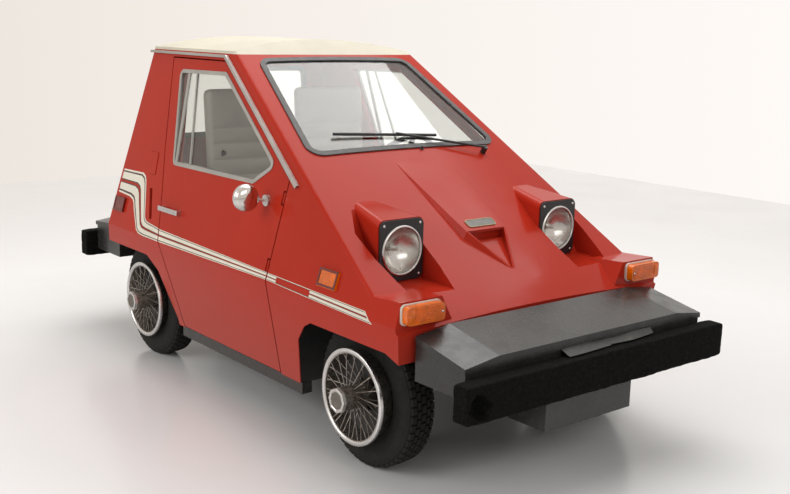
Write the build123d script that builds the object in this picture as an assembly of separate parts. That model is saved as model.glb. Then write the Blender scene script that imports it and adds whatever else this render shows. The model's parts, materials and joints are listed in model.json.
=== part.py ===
from build123d import *
import math
import os

# Four-wheeled electric microcar: a wedge-shaped plastic body on an aluminium frame, with two hinged
# doors, a hinged front battery lid, steered front wheels and padded bumpers on both battery boxes.
# Millimetres, +Z up, the nose towards -Y.  Stations along Y are measured from mid-wheelbase.

# ---------------------------------------------------------------- running gear sizes
WHEELBASE = 1600.0
FRONT_AXLE_Y = -WHEELBASE / 2
REAR_AXLE_Y = WHEELBASE / 2
TYRE_RADIUS = 262.0
TYRE_WIDTH = 118.0
TREAD_WIDTH = 92.0
FRONT_WHEEL_X = 531.0
REAR_WHEEL_X = 545.0
RIM_RADIUS = 152.0
FRONT_COVER_X = 640.0
REAR_COVER_X = 637.0
COVER_RING_RADIUS = 171.0
COVER_RING_WIDTH = 19.0
SPOKE_PAIRS = 18
HUB_CAP_WIDTH = 84.0
HUB_CAP_LENGTH = 62.0
HUB_RADIUS = 46.0
HUB_BORE_RADIUS = 20.0
RUNNING_CLEARANCE = 0.08
KINGPIN_X = 468.0
KINGPIN_RADIUS = 12.0

# ---------------------------------------------------------------- body sizes
WALL = 4.0
PANEL_RETURN = 34.0
REAR_RETURN = 103.0
BODY_BOTTOM_Z = 197.0
CREASE_Z = 565.0
ROOF_EDGE_Z = 1396.0
ROOF_EDGE_HALF = 459.0
SIDE_LEAN = 0.2365
SIDE_TUCK = 0.162
ROOF_SPLIT_Z = 1384.0
ROOF_CROWN_Z = 1447.0
SCREEN_TOP_Y = 286.0
SCREEN_TOP_Z = 1400.0
HOOD_SLOPE = 0.6311
HOOD_CROWN = 14.0
HOOD_CROWN_RADIUS = 10500.0
HOOD_EDGE_RADIUS = 14.0
NOSE_FRONT_Y = -1062.0
NOSE_TIP_Y = -1046.0
ARCH_LIP_Z = 466.0
REAR_TOP_Y = 983.0
REAR_CREASE_Y = 1120.0
REAR_TIP_Y = 1146.0
REAR_TIP_Z = 482.0

# ---------------------------------------------------------------- doors
DOOR_GAP = 6.0
DOOR_DEPTH = 42.0
DOOR_SKIN = 5.0
DOOR_RETURN = 18.0
DOOR_OUTLINE = [(-293, 197), (-276, 565), (-303, 948), (328, 1357), (790, 1357), (744, 1132),
                (711, 968), (661, 780), (612, 565), (483, 197)]
DOOR_HINGE_HEIGHTS = [60.0, 320.0]
DOOR_PIN_RADIUS = 3.0
DOOR_KNUCKLE_RADIUS = 5.0
DOOR_KNUCKLE_HALF = 15.7
DOOR_EAR_OUTER = 22.0
DOOR_EAR_INNER = 16.0
WINDOW_OUTLINE = [(700, 1306), (303, 1311), (-198, 986), (-60, 901), (604, 899)]
WINDOW_FRAME_WIDTH = 16.0
GLASS_THICKNESS = 5.0

# ---------------------------------------------------------------- boxes and bumpers
BOX_HALF = 588.0
BOX_BOTTOM_Z = 387.0
FRONT_BOX_INNER_Y = -1074.0
FRONT_BOX_OUTER_Y = -1312.0
REAR_BOX_INNER_Y = 1154.0
REAR_BOX_OUTER_Y = 1408.0
FRONT_LID_INNER_Z = 560.0
FRONT_LID_OUTER_Z = 512.0
REAR_LID_INNER_Z = 566.0
REAR_LID_OUTER_Z = 546.0
LID_WING_X = 448.0
LID_WING_DROP = 20.0
LID_WALL = 3.0
LID_LIP = 18.0
LID_REST = 0.3
HINGE_X = 380.0
HINGE_WIDTH = 40.0
HINGE_RADIUS = 5.0
HINGE_PIN_RADIUS = 3.0
HINGE_FIT = 0.08
BUMPER_HALF = 652.0
BUMPER_DEPTH = 74.0
BUMPER_BOTTOM_Z = 332.0
BUMPER_TOP_Z = 464.0
REAR_BUMPER_RISE = 16.0
BUMPER_STAND_OFF = 4.0
FRONT_BUMPER_BACK_Y = FRONT_BOX_OUTER_Y - BUMPER_STAND_OFF
REAR_BUMPER_FRONT_Y = REAR_BOX_OUTER_Y + BUMPER_STAND_OFF

# ---------------------------------------------------------------- frame and floor
RAIL_INNER_X = 333.0
RAIL_WIDTH = 40.0
RAIL_HEIGHT = 50.0
PLATE = 3.0
SILL_BOTTOM_Z = 150.0
SILL_TOP_Z = 194.0
SILL_OUTER_X = 585.0
SILL_WIDTH = 44.0
SILL_FRONT_Y = -420.0
SILL_BACK_Y = 520.0
FOOTWELL_FRONT_Y = -733.0
WHEELHOUSE_Z = 545.0
REAR_BULKHEAD_Y = 645.0

# ---------------------------------------------------------------- seats and steering wheel
SEAT_X = 235.0
SEAT_WIDTH = 410.0
STEERING_X = 215.0
STEERING_Y = 20.0
STEERING_Z = 885.0
STEERING_RADIUS = 185.0
COLUMN_RAKE = 30.0

# headlamp pods, scoop and direction-lamp pods
POD_X = 398.0
POD_FRONT_Y = -752.0
POD_FRONT_HALF = 103.0
POD_BACK_HALF = 62.0
POD_TOP_FRONT_Z = 855.0
POD_TOP_BACK_Z = 886.0
POD_BACK_Y = -548.0
POD_FLOOR_Z = 630.0
POD_CORNER = 28.0
RECESS_PLAN = [(440, -745), (296, -745), (300, -850), (316, -952), (495, -952), (514, -866),
               (529, -776), (534, -665), (470, -552), (440, -552)]
SCOOP_BACK_HALF = 133.0
SCOOP_LIP_HALF = 98.0
SCOOP_BACK_Y = -371.0
SCOOP_LIP_Y = -766.0
SCOOP_TIP_Y = -924.0
SCOOP_RISE = 44.0
SCOOP_FLARE = 20.0
SCOOP_LIP_THICKNESS = 9.0
SCOOP_LIP_HANG = 22.0
SCOOP_FLOOR_DROP = 10.0
TURN_POD_TOP_Z = 650.0
TURN_POD_BACK_Z = 641.0
TURN_POD_FRONT_Y = -1050.0
TURN_POD_INNER_X = 460.0
TURN_POD_FOOT_X = 404.0
TURN_POD_FOOT_Z = 545.0

# windows, wheel arches, quarter slot and charging flap
SCREEN_TOP_S = -76.0
SCREEN_BOTTOM_S = -708.0
SCREEN_TOP_HALF = 388.0
SCREEN_BOTTOM_HALF = 485.0
SCREEN_CORNER = 62.0
GASKET_WIDTH = 24.0
REAR_WINDOW_TOP_HALF = 372.0
REAR_WINDOW_BOTTOM_HALF = 430.0
REAR_WINDOW_TOP_Z = 1300.0
REAR_WINDOW_BOTTOM_Z = 960.0
REAR_WINDOW_CORNER = 50.0
FRONT_ARCH = [(392, 100), (350, 380), (298, ARCH_LIP_Z - 24), (252, ARCH_LIP_Z), (-180, ARCH_LIP_Z),
              (-248, ARCH_LIP_Z - 26), (-400, ARCH_LIP_Z - 26), (-400, 100)]
REAR_ARCH = [(-285, 100), (-262, 225), (-140, 425), (-50, 480), (380, 480), (380, 100)]
QUARTER_SLOT = [(776, 776), (752, 777), (706, 648), (730, 646)]
SLOT_DEPTH = 22.0
CHARGING_FLAP = [(827, 934), (753, 936), (748, 838), (812, 839)]
FLAP_GROOVE = 2.5

# tail lamps
LAMP_Z = 742.0
LAMP_RADIUS = 90.0

# door fittings
HANDLE_Z = 712.0
HANDLE_FRONT_Y = 452.0
HANDLE_LENGTH = 172.0
MIRROR_BASE_Y = -180.0
MIRROR_BASE_Z = 854.0

# lamp faces
BEZEL_HALF_WIDTH = 98.0
BEZEL_TOP_Z = 852.0
BEZEL_BOTTOM_Z = 633.0
BEZEL_THICKNESS = 7.0
TURN_LENS_INNER_X = 474.0
TURN_LENS_OUTER_X = 634.0
TURN_LENS_BOTTOM_Z = 578.0
TURN_LENS_TOP_Z = 640.0

# wheelhouses
WHEELHOUSE_X = 470.0
WHEELHOUSE_FOOT_Y = 505.0
WHEELHOUSE_HEAD_Y = 590.0

# bumper brackets and batteries
BRACKET_X = 300.0
BRACKET_WIDTH = 70.0
BRACKET_BOTTOM_Z = 400.0
BRACKET_TOP_Z = 452.0
BATTERY_X = 520.0
BATTERY_TOP_Z = 496.0
LOWER_BOX_HALF = 218.0
LOWER_BOX_BOTTOM_Z = 202.0
LOWER_BOX_LENGTH = 172.0

# axles, knuckles and springs
AXLE_HEIGHT = 44.0
AXLE_DEPTH = 44.0
YOKE_THICKNESS = 12.0
YOKE_HALF_HEIGHT = 62.0
BOSS_RADIUS = 22.0
ARM_LENGTH = 105.0
FRONT_LEAF_REACH = 270.0
REAR_LEAF_REACH = 146.0
LEAF_WIDTH = 40.0
LEAF_THICKNESS = 16.0
REAR_TUBE_RADIUS = 32.0
MOTOR_RADIUS = 88.0
MOTOR_LENGTH = 250.0
CASING_RADIUS = 92.0

# dashboard, column and seats
DASH_STEP_Y = -335.0
COLUMN_RADIUS = 22.0
SHAFT_RADIUS = 10.0
STEERING_GRIP = 11.0
SEAT_FRONT_Y = 110.0
SEAT_BACK_Y = 520.0
SEAT_BASE_Z = 320.0
SEAT_TOP_Z = 430.0
SEAT_BACK_TOP_Z = 1235.0
SEAT_CLEARANCE = 0.3

# beyond every edge of the object
FAR = 4000.0

OVERALL_FRONT_Y = FRONT_BUMPER_BACK_Y - BUMPER_DEPTH
OVERALL_REAR_Y = REAR_BUMPER_FRONT_Y + BUMPER_DEPTH
MIDDLE_Y = (OVERALL_FRONT_Y + OVERALL_REAR_Y) / 2

os.makedirs("parts", exist_ok=True)
parts = {}


# ================================================================ helpers
def half_width(z):
    if z >= CREASE_Z:
        return ROOF_EDGE_HALF + (ROOF_EDGE_Z - z) * SIDE_LEAN
    return half_width(CREASE_Z) - (CREASE_Z - z) * SIDE_TUCK


def hood_z(y):
    return SCREEN_TOP_Z - (SCREEN_TOP_Y - y) * HOOD_SLOPE


def hood_y(z):
    return SCREEN_TOP_Y - (SCREEN_TOP_Z - z) / HOOD_SLOPE


def mirrored(shape):
    return mirror(shape, about=Plane.YZ)


def as_drawn(shape):
    return shape


SIDES = [("left", as_drawn), ("right", mirrored)]


def box(x0, x1, y0, y1, z0, z1):
    size = Box(x1 - x0, y1 - y0, z1 - z0)
    return Pos((x0 + x1) / 2, (y0 + y1) / 2, (z0 + z1) / 2) * size


def side_prism(points, x0, x1, inset=0.0, corner=0.0):
    """Extrude a (y, z) outline along X from x0 to x1, shrunk by inset, with rounded corners."""
    face = make_face(Polyline(*[(y, z) for y, z in points], close=True))
    if inset:
        face = offset(face, amount=-inset, kind=Kind.INTERSECTION)
    if corner:
        face = fillet(face.vertices(), corner)
    flat = Plane(origin=(x0, 0, 0), x_dir=(0, 1, 0), z_dir=(1, 0, 0))
    return extrude(flat * face, amount=x1 - x0)


def tube_between(a, b, radius):
    a, b = Vector(*a), Vector(*b)
    plane = Plane(origin=a, z_dir=(b - a))
    return extrude(plane * Circle(radius), amount=(b - a).length)


def group(*shapes):
    return Compound([solid for shape in shapes for solid in shape.solids()])


def keep(name, shape):
    parts[name] = shape


# ================================================================ body volume
HOOD_ANGLE = math.degrees(math.atan(HOOD_SLOPE))
HOOD_PLANE = Plane(origin=(0, SCREEN_TOP_Y, SCREEN_TOP_Z), x_dir=(1, 0, 0),
                   z_dir=(0, -math.sin(math.radians(HOOD_ANGLE)), math.cos(math.radians(HOOD_ANGLE))))
ROOF_SAG = ROOF_CROWN_Z - ROOF_EDGE_Z
ROOF_CROWN_RADIUS = (ROOF_EDGE_HALF ** 2 + ROOF_SAG ** 2) / (2 * ROOF_SAG)


def cross_section(inset, bottom):
    """Front view of the body: sides leaning in to the roof and tucking in to the sill."""
    top = ROOF_CROWN_Z + 40
    right = [(half_width(bottom), bottom), (half_width(CREASE_Z), CREASE_Z), (half_width(top), top)]
    left = [(-x, z) for x, z in reversed(right)]
    face = make_face(Polyline(*(right + left), close=True))
    if inset:
        face = offset(face, amount=-inset, kind=Kind.INTERSECTION)
    return face


def body_volume(inset=0.0):
    """The closed wedge with its crowned hood and roof, all faces moved in by inset."""
    bottom = BODY_BOTTOM_Z - (120 if inset else 0)
    section = extrude(Plane.XZ * cross_section(inset, bottom), amount=1500, both=True)
    profile = [(NOSE_TIP_Y + inset, bottom), (NOSE_TIP_Y + inset, ARCH_LIP_Z - 26),
               (NOSE_FRONT_Y + inset, hood_z(NOSE_FRONT_Y)), (NOSE_FRONT_Y + inset, 1700),
               (REAR_TOP_Y - inset - 50, 1700), (REAR_TOP_Y - inset, ROOF_EDGE_Z),
               (REAR_CREASE_Y - inset, CREASE_Z), (REAR_TIP_Y - inset, REAR_TIP_Z),
               (REAR_TIP_Y - 46 - inset, ARCH_LIP_Z - 16), (REAR_TIP_Y - 46 - inset, bottom)]
    volume = section & side_prism(profile, -900, 900)
    hood = Cylinder(HOOD_CROWN_RADIUS - inset, 4000, rotation=(90, 0, 0))
    volume = volume & (HOOD_PLANE * (Pos(0, -600, HOOD_CROWN - HOOD_CROWN_RADIUS) * hood))
    roof = Cylinder(ROOF_CROWN_RADIUS - inset, 4000, rotation=(90, 0, 0))
    volume = volume & (Pos(0, 0, ROOF_CROWN_Z - ROOF_CROWN_RADIUS) * roof)
    if HOOD_EDGE_RADIUS - inset <= 1:
        return volume
    edges = [edge for edge in volume.edges() if edge.length > 1200 and abs(edge.center().X) > 400
             and -700 < edge.center().Y < 0 and edge.center().Z > 700]
    return fillet(edges, HOOD_EDGE_RADIUS - inset)


def thickened(amount):
    """The plain wedge grown outwards, for trim that stands proud of the skin."""
    return body_volume(-amount)


# ================================================================ headlamp pods, scoop, lamp pods


def lamp_pod(inset):
    """One headlamp pod: a block that narrows to the rear, with its flat vertical lamp face."""
    def face(y, half, top, corner):
        height = top - POD_FLOOR_Z
        outline = RectangleRounded(2 * (half - inset), height - 2 * inset, max(corner - inset, 1))
        middle = (POD_X, y, POD_FLOOR_Z + height / 2)
        return Plane(origin=middle, x_dir=(1, 0, 0), z_dir=(0, 1, 0)) * outline
    front = face(POD_FRONT_Y + inset, POD_FRONT_HALF, POD_TOP_FRONT_Z, POD_CORNER)
    back = face(POD_BACK_Y, POD_BACK_HALF, POD_TOP_BACK_Z, POD_CORNER)
    return loft([front, back])


def lamp_recess(inset):
    """The hollow let into the hood ahead of a pod and along its outer side, where it rises to the rear."""
    plan = offset(make_face(Polyline(*RECESS_PLAN, close=True)), amount=inset, kind=Kind.INTERSECTION)
    back, front = RECESS_PLAN[-1][1] + inset, RECESS_PLAN[3][1] - inset
    floor = side_prism([(back, hood_z(back) + HOOD_CROWN - inset), (POD_FRONT_Y, POD_FLOOR_Z - inset),
                        (front, POD_FLOOR_Z - inset), (front, 1100), (back, 1100)], 200, 600)
    return extrude(Plane.XY * plan, amount=1100) & floor


def scoop_bulge(inset):
    """The raised centre of the hood: it narrows and rises to its lip, then runs out ahead to a point."""
    def section(y, half, rise, flare):
        outline = Polyline((-half - flare, -60), (half + flare, -60), (half + flare, 0),
                           (half, rise - inset), (-half, rise - inset), (-half - flare, 0), close=True)
        return Plane(origin=(0, y, hood_z(y)), x_dir=(1, 0, 0), z_dir=(0, -1, 0)) * make_face(outline)
    back = section(SCOOP_BACK_Y, SCOOP_BACK_HALF - inset, HOOD_CROWN + 1, 6)
    lip = section(SCOOP_LIP_Y, SCOOP_LIP_HALF - inset, SCOOP_RISE, SCOOP_FLARE)
    tip = section(SCOOP_TIP_Y, 6, HOOD_CROWN + 1, 3)
    return loft([back, lip], ruled=True) + loft([lip, tip], ruled=True)


def scoop_mouth(inset):
    """The mouth under the scoop's lip and the three-cornered hollow that runs out ahead of it."""
    back = SCOOP_LIP_Y + SCOOP_LIP_HANG + inset
    tip = SCOOP_TIP_Y + 14 - inset
    half = SCOOP_LIP_HALF - 7 + inset
    plan = Polyline((-half, back), (half, back), (half, SCOOP_LIP_Y), (3, tip), (-3, tip),
                    (-half, SCOOP_LIP_Y), close=True)
    top = hood_z(SCOOP_LIP_Y) + SCOOP_RISE
    floor = hood_z(SCOOP_LIP_Y) + HOOD_CROWN - SCOOP_FLOOR_DROP - inset
    lip_under = top - SCOOP_LIP_THICKNESS + inset
    wedge = side_prism([(back, floor), (SCOOP_LIP_Y, floor), (tip, hood_z(tip) + HOOD_CROWN - 2 - inset),
                        (tip, top), (SCOOP_LIP_Y, top), (SCOOP_LIP_Y, lip_under), (back, lip_under)], -200, 200)
    return extrude(Plane.XY * make_face(plan), amount=1100) & wedge


def turn_pod(inset):
    """The corner of the nose that carries a direction lamp, sloped down on its inner side."""
    front = TURN_POD_FRONT_Y + inset
    back = hood_y(TURN_POD_BACK_Z) + 20
    wedge = side_prism([(front, TURN_POD_FOOT_Z - 40), (front, TURN_POD_TOP_Z - inset),
                        (back, TURN_POD_BACK_Z - inset), (back, TURN_POD_FOOT_Z - 40)], 300, 700)
    outline = Polyline((TURN_POD_FOOT_X + inset, TURN_POD_FOOT_Z - 40), (TURN_POD_FOOT_X + inset, TURN_POD_FOOT_Z),
                       (TURN_POD_INNER_X + inset, TURN_POD_TOP_Z), (700, TURN_POD_TOP_Z + 20),
                       (700, TURN_POD_FOOT_Z - 40), close=True)
    slope = extrude(Plane.XZ * make_face(outline), amount=FAR, both=True)
    return wedge & slope & extrude(Plane.XZ * cross_section(inset, BODY_BOTTOM_Z), amount=FAR, both=True)


def styled_volume(inset=0.0):
    volume = body_volume(inset)
    for _, side in SIDES:
        volume = volume - side(lamp_recess(inset)) + side(lamp_pod(inset)) + side(turn_pod(inset))
    return volume + scoop_bulge(inset) - scoop_mouth(inset)


# ================================================================ openings in the shell


def screen_outline(inset):
    face = make_face(Polyline((-SCREEN_BOTTOM_HALF, SCREEN_BOTTOM_S), (SCREEN_BOTTOM_HALF, SCREEN_BOTTOM_S),
                              (SCREEN_TOP_HALF, SCREEN_TOP_S), (-SCREEN_TOP_HALF, SCREEN_TOP_S), close=True))
    face = offset(face, amount=-inset, kind=Kind.INTERSECTION)
    return fillet(face.vertices(), SCREEN_CORNER - inset)


def screen_prism(inset):
    return extrude(HOOD_PLANE * screen_outline(inset), amount=80, both=True)


def rear_window_prism(inset):
    face = make_face(Polyline((-REAR_WINDOW_BOTTOM_HALF, REAR_WINDOW_BOTTOM_Z),
                              (REAR_WINDOW_BOTTOM_HALF, REAR_WINDOW_BOTTOM_Z),
                              (REAR_WINDOW_TOP_HALF, REAR_WINDOW_TOP_Z),
                              (-REAR_WINDOW_TOP_HALF, REAR_WINDOW_TOP_Z), close=True))
    face = offset(face, amount=-inset, kind=Kind.INTERSECTION)
    face = fillet(face.vertices(), REAR_WINDOW_CORNER - inset)
    return extrude(Plane(origin=(0, 900, 0), x_dir=(1, 0, 0), z_dir=(0, -1, 0)) * face, amount=-300)


def arch_prisms():
    front = side_prism([(FRONT_AXLE_Y + y, z) for y, z in FRONT_ARCH], -900, 900)
    rear = side_prism([(REAR_AXLE_Y + y, z) for y, z in REAR_ARCH], -900, 900)
    return front + rear


def door_prism(inset=0.0):
    return side_prism(DOOR_OUTLINE, 300, 900, inset)


def window_prism(inset=0.0):
    return side_prism(WINDOW_OUTLINE, 300, 900, inset, 28.0 - inset)


def quarter_slot(shell):
    """Cuts the upright air slot into a quarter panel and lines it with a shallow pocket."""
    pocket = (body_volume(WALL / 2) - body_volume(SLOT_DEPTH)) & side_prism(QUARTER_SLOT, 300, 900, -3)
    hollow = thickened(9) - body_volume(SLOT_DEPTH - 3)
    return (shell + pocket) - (hollow & side_prism(QUARTER_SLOT, 300, 900))


def charging_flap(shell):
    """A flap that stands a little proud of the panel, inside a shallow groove."""
    around = side_prism(CHARGING_FLAP, 300, 900, -FLAP_GROOVE, 10) - side_prism(CHARGING_FLAP, 300, 900, 0, 8)
    lid = (thickened(2.5) - body_volume(1)) & side_prism(CHARGING_FLAP, 300, 900, 0, 8)
    return shell - (around & (thickened(9) - body_volume(2))) + lid


# ================================================================ panels
def build_shell():
    outer = styled_volume()
    shell = outer - styled_volume(WALL)
    shell = shell - arch_prisms() - screen_prism(GASKET_WIDTH / 2) - rear_window_prism(GASKET_WIDTH / 2)
    for _, side in SIDES:
        shell = shell - side(door_prism())
        lamp = Pos(POD_X, POD_FRONT_Y, LAMP_Z) * Cylinder(LAMP_RADIUS - 4, 60, rotation=(90, 0, 0))
        shell = shell - side(lamp)
    shell = mirrored(charging_flap(quarter_slot(mirrored(shell))))
    return outer, quarter_slot(shell)


outer, shell = build_shell()
roof_zone = box(-FAR, FAR, -FAR, FAR, ROOF_SPLIT_Z, FAR)
core_zone = extrude(Plane.XZ * cross_section(PANEL_RETURN, 0), amount=FAR, both=True)
rear_zone = core_zone & box(-FAR, FAR, REAR_TOP_Y - REAR_RETURN, FAR, 0, ROOF_SPLIT_Z)
below_roof = shell - roof_zone
nose_zone = box(-FAR, FAR, -FAR, SCREEN_TOP_Y, CREASE_Z, ROOF_SPLIT_Z)
skirt_zone = box(-FAR, FAR, -FAR, SCREEN_TOP_Y, 0, CREASE_Z)
left_half = box(0, FAR, -FAR, FAR, 0, FAR)
right_half = mirrored(left_half)
keep("roof_panel", shell & roof_zone)
nose = below_roof & nose_zone
keep("nose_panel", nose & core_zone)
keep("nose_side_left", (nose - core_zone) & left_half)
keep("nose_side_right", (nose - core_zone) & right_half)
keep("front_skirts", below_roof & skirt_zone)
keep("rear_panel", below_roof & rear_zone)
quarters = below_roof - nose_zone - skirt_zone - rear_zone
keep("quarter_panel_left", quarters & left_half)
keep("quarter_panel_right", quarters & right_half)


# ================================================================ glass
def screen_set():
    core = outer & screen_prism(0)
    pane = (core - body_volume(GLASS_THICKNESS)) & screen_prism(GASKET_WIDTH / 2 + 6)
    ring = screen_prism(0) - screen_prism(GASKET_WIDTH)
    lip = ring & (thickened(6) - body_volume(WALL + 6))
    gasket = lip - shell - pane
    return pane, gasket


pane, gasket = screen_set()
keep("windscreen_glass", pane)
rear_pane = ((outer - body_volume(GLASS_THICKNESS)) & rear_window_prism(GASKET_WIDTH / 2 + 6))
rear_ring = rear_window_prism(0) - rear_window_prism(GASKET_WIDTH)
keep("rear_window_glass", rear_pane)
rear_gasket = (rear_ring & (thickened(6) - body_volume(WALL + 6))) - shell - rear_pane
keep("window_gaskets", group(gasket, rear_gasket))


# ================================================================ doors
def door_set():
    skin = (body_volume(0) - body_volume(DOOR_SKIN)) & door_prism(DOOR_GAP)
    inner = (body_volume(DOOR_SKIN) - body_volume(DOOR_DEPTH)) & door_prism(DOOR_GAP + DOOR_RETURN)
    panel = (skin + inner) - window_prism(WINDOW_FRAME_WIDTH / 2)
    frame = (thickened(3) - body_volume(12)) & (window_prism() - window_prism(WINDOW_FRAME_WIDTH))
    frame = frame - panel
    glass = (body_volume(4) - body_volume(4 + GLASS_THICKNESS)) & window_prism(WINDOW_FRAME_WIDTH / 2)
    frame = frame - glass
    bar = (thickened(2) - body_volume(4)) & window_prism(WINDOW_FRAME_WIDTH)
    bar = bar & side_prism([(560, 800), (612, 1400), (632, 1400), (580, 800)], 300, 900)
    return panel, frame + bar, glass


def hinge_plane():
    """Axis of the door, just under the skin and parallel to the door's upper front edge."""
    (y0, z0), (y1, z1) = DOOR_OUTLINE[1], DOOR_OUTLINE[2]
    foot = Vector(half_width(z0), y0, z0)
    along = Vector(half_width(z1), y1, z1) - foot
    plane = Plane(origin=foot, x_dir=(1, 0, SIDE_LEAN), z_dir=along)
    return plane.move(Location(plane.x_dir * -DOOR_KNUCKLE_RADIUS + plane.y_dir * (DOOR_GAP + 8)))


def hinge_bracket(height):
    """Ears and pin that stand out of the front post and carry the door's knuckle."""
    r = DOOR_KNUCKLE_RADIUS
    edge = -DOOR_GAP - 8
    bracket = box(-4, r - WALL, edge - 26, -4, height - DOOR_EAR_OUTER, height + DOOR_EAR_OUTER)
    bracket = bracket - box(-5, r, edge + 1, 0, height - DOOR_EAR_INNER, height + DOOR_EAR_INNER)
    for low in (height - DOOR_EAR_OUTER, height + DOOR_EAR_INNER):
        ear = Pos(0, 0, low + (DOOR_EAR_OUTER - DOOR_EAR_INNER) / 2) * Cylinder(r, DOOR_EAR_OUTER - DOOR_EAR_INNER)
        bracket = bracket + ear + box(-4, r - WALL, -6, 0, low, low + DOOR_EAR_OUTER - DOOR_EAR_INNER)
    return hinge_plane() * (bracket + Pos(0, 0, height) * Cylinder(DOOR_PIN_RADIUS, 2 * DOOR_EAR_OUTER))


def hinge_pocket(height):
    reach = DOOR_EAR_OUTER + 5
    return hinge_plane() * box(-18, 8, -40, 10, height - reach, height + reach)


def hinge_knuckle(height):
    half = DOOR_KNUCKLE_HALF
    knuckle = Pos(0, 0, height) * Cylinder(DOOR_KNUCKLE_RADIUS, 2 * half)
    knuckle = knuckle + box(-DOOR_KNUCKLE_RADIUS, 0, 0, 16, height - half, height + half)
    return hinge_plane() * (knuckle - Pos(0, 0, height) * Cylinder(DOOR_PIN_RADIUS + HINGE_FIT, 4 * half))


def door_handle():
    x = half_width(HANDLE_Z)
    grip = box(x + 16, x + 26, HANDLE_FRONT_Y, HANDLE_FRONT_Y + HANDLE_LENGTH, HANDLE_Z - 11, HANDLE_Z + 11)
    grip = fillet(grip.edges(), 4)
    feet = [box(x - 8, x + 18, y, y + 26, HANDLE_Z - 9, HANDLE_Z + 9)
            for y in (HANDLE_FRONT_Y + 2, HANDLE_FRONT_Y + HANDLE_LENGTH - 28)]
    return grip + feet[0] + feet[1]


def door_mirror():
    x = half_width(MIRROR_BASE_Z)
    base = Pos(x + 4, MIRROR_BASE_Y, MIRROR_BASE_Z) * Cylinder(22, 14, rotation=(0, 90, 0))
    arm = tube_between((x + 6, MIRROR_BASE_Y, MIRROR_BASE_Z), (x + 86, MIRROR_BASE_Y + 12, MIRROR_BASE_Z + 14), 6)
    head = Pos(x + 88, MIRROR_BASE_Y + 14, MIRROR_BASE_Z + 15) * Cylinder(52, 26, rotation=(90, 0, 0))
    head = fillet(head.edges(), 9)
    return base + arm + head


panel, frame, glass = door_set()
brackets = []
for height in DOOR_HINGE_HEIGHTS:
    panel = panel - hinge_pocket(height) + hinge_knuckle(height)
    brackets.append(hinge_bracket(height))
keep("door_hinges", group(*brackets, *[mirrored(bracket) for bracket in brackets]))
fittings = (door_handle() + door_mirror()) - panel
for side, turn in SIDES:
    keep(f"door_panel_{side}", turn(panel))
    keep(f"door_window_frame_{side}", turn(frame))
    keep(f"door_glass_{side}", turn(glass))
    keep(f"door_fittings_{side}", turn(fittings))


# ================================================================ drip rails
def drip_rail():
    line = [(1000, 1379), (324, 1379), (-368, 933), (-360, 922), (329, 1368), (1000, 1368)]
    return (thickened(13) - outer) & side_prism(line, 200, 900)


keep("drip_rails", group(drip_rail(), mirrored(drip_rail())))


# ================================================================ lamps


def headlamp_bezel():
    height = BEZEL_TOP_Z - BEZEL_BOTTOM_Z
    flat = Plane(origin=(POD_X, POD_FRONT_Y, (BEZEL_TOP_Z + BEZEL_BOTTOM_Z) / 2), x_dir=(1, 0, 0),
                 z_dir=(0, -1, 0))
    plate = extrude(flat * RectangleRounded(2 * BEZEL_HALF_WIDTH, height, POD_CORNER - 3), amount=BEZEL_THICKNESS)
    return plate - Pos(POD_X, POD_FRONT_Y, LAMP_Z) * Cylinder(LAMP_RADIUS - 4, 60, rotation=(90, 0, 0))


def headlamp():
    """A sealed-beam lamp: chrome rim and shallow domed lens, with the bowl behind it."""
    r = LAMP_RADIUS
    front = BEZEL_THICKNESS
    profile = make_face(Polyline((0, front + 16), (r * 0.5, front + 13), (r - 9, front + 6), (r, front + 5),
                                 (r, front), (r - 5, front), (r - 5, -WALL - 14), (r * 0.45, -WALL - 52),
                                 (0, -WALL - 52), close=True))
    lamp = revolve(Plane.XY * profile, axis=Axis.Y)
    return Pos(POD_X, POD_FRONT_Y, LAMP_Z) * (Rot(180, 0, 0) * lamp)


def turn_lamp():
    lens = box(TURN_LENS_INNER_X, TURN_LENS_OUTER_X, TURN_POD_FRONT_Y - 34, TURN_POD_FRONT_Y - 8,
               TURN_LENS_BOTTOM_Z, TURN_LENS_TOP_Z)
    lens = fillet(lens.edges().filter_by(Axis.Y), 14)
    base = box(TURN_LENS_INNER_X - 4, TURN_LENS_OUTER_X + 4, TURN_POD_FRONT_Y - 8, TURN_POD_FRONT_Y,
               TURN_LENS_BOTTOM_Z - 4, TURN_LENS_TOP_Z + 4)
    return lens, fillet(base.edges().filter_by(Axis.Y), 16)


def side_marker(y0, y1, z0, z1):
    outline = [(y0, z0), (y1, z0), (y1 - 6, z1), (y0 - 6, z1)]
    return (thickened(9) - outer) & side_prism(outline, 300, 900)


lens, base = turn_lamp()
bezel = headlamp_bezel()
lamp = headlamp()
front_marker = side_marker(-708, -601, 619, 682)
rear_marker = side_marker(986, 1084, 638, 702)
tail = side_prism([(REAR_CREASE_Y - 60, 620), (REAR_CREASE_Y + 40, 620), (REAR_CREASE_Y + 25, 700),
                   (REAR_CREASE_Y - 60, 700)], 380, 560) - outer
keep("headlamp_bezels", group(bezel, mirrored(bezel)))
keep("headlamps", group(lamp, mirrored(lamp)))
keep("turn_lamp_bases", group(base, mirrored(base)))
amber = (lens, front_marker)
red = (tail, rear_marker)
keep("amber_lamps", group(*amber, *[mirrored(shape) for shape in amber]))
keep("tail_lamps", group(*red, *[mirrored(shape) for shape in red]))


# ================================================================ floor, frame and tubs
def floor_pan():
    wide = box(-SILL_OUTER_X + 6, SILL_OUTER_X - 6, SILL_FRONT_Y + PLATE, SILL_BACK_Y - 20,
               SILL_TOP_Z, SILL_TOP_Z + PLATE)
    return wide + box(-WHEELHOUSE_X, WHEELHOUSE_X, SILL_BACK_Y - 20, REAR_BULKHEAD_Y, SILL_TOP_Z, SILL_TOP_Z + PLATE)


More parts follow.
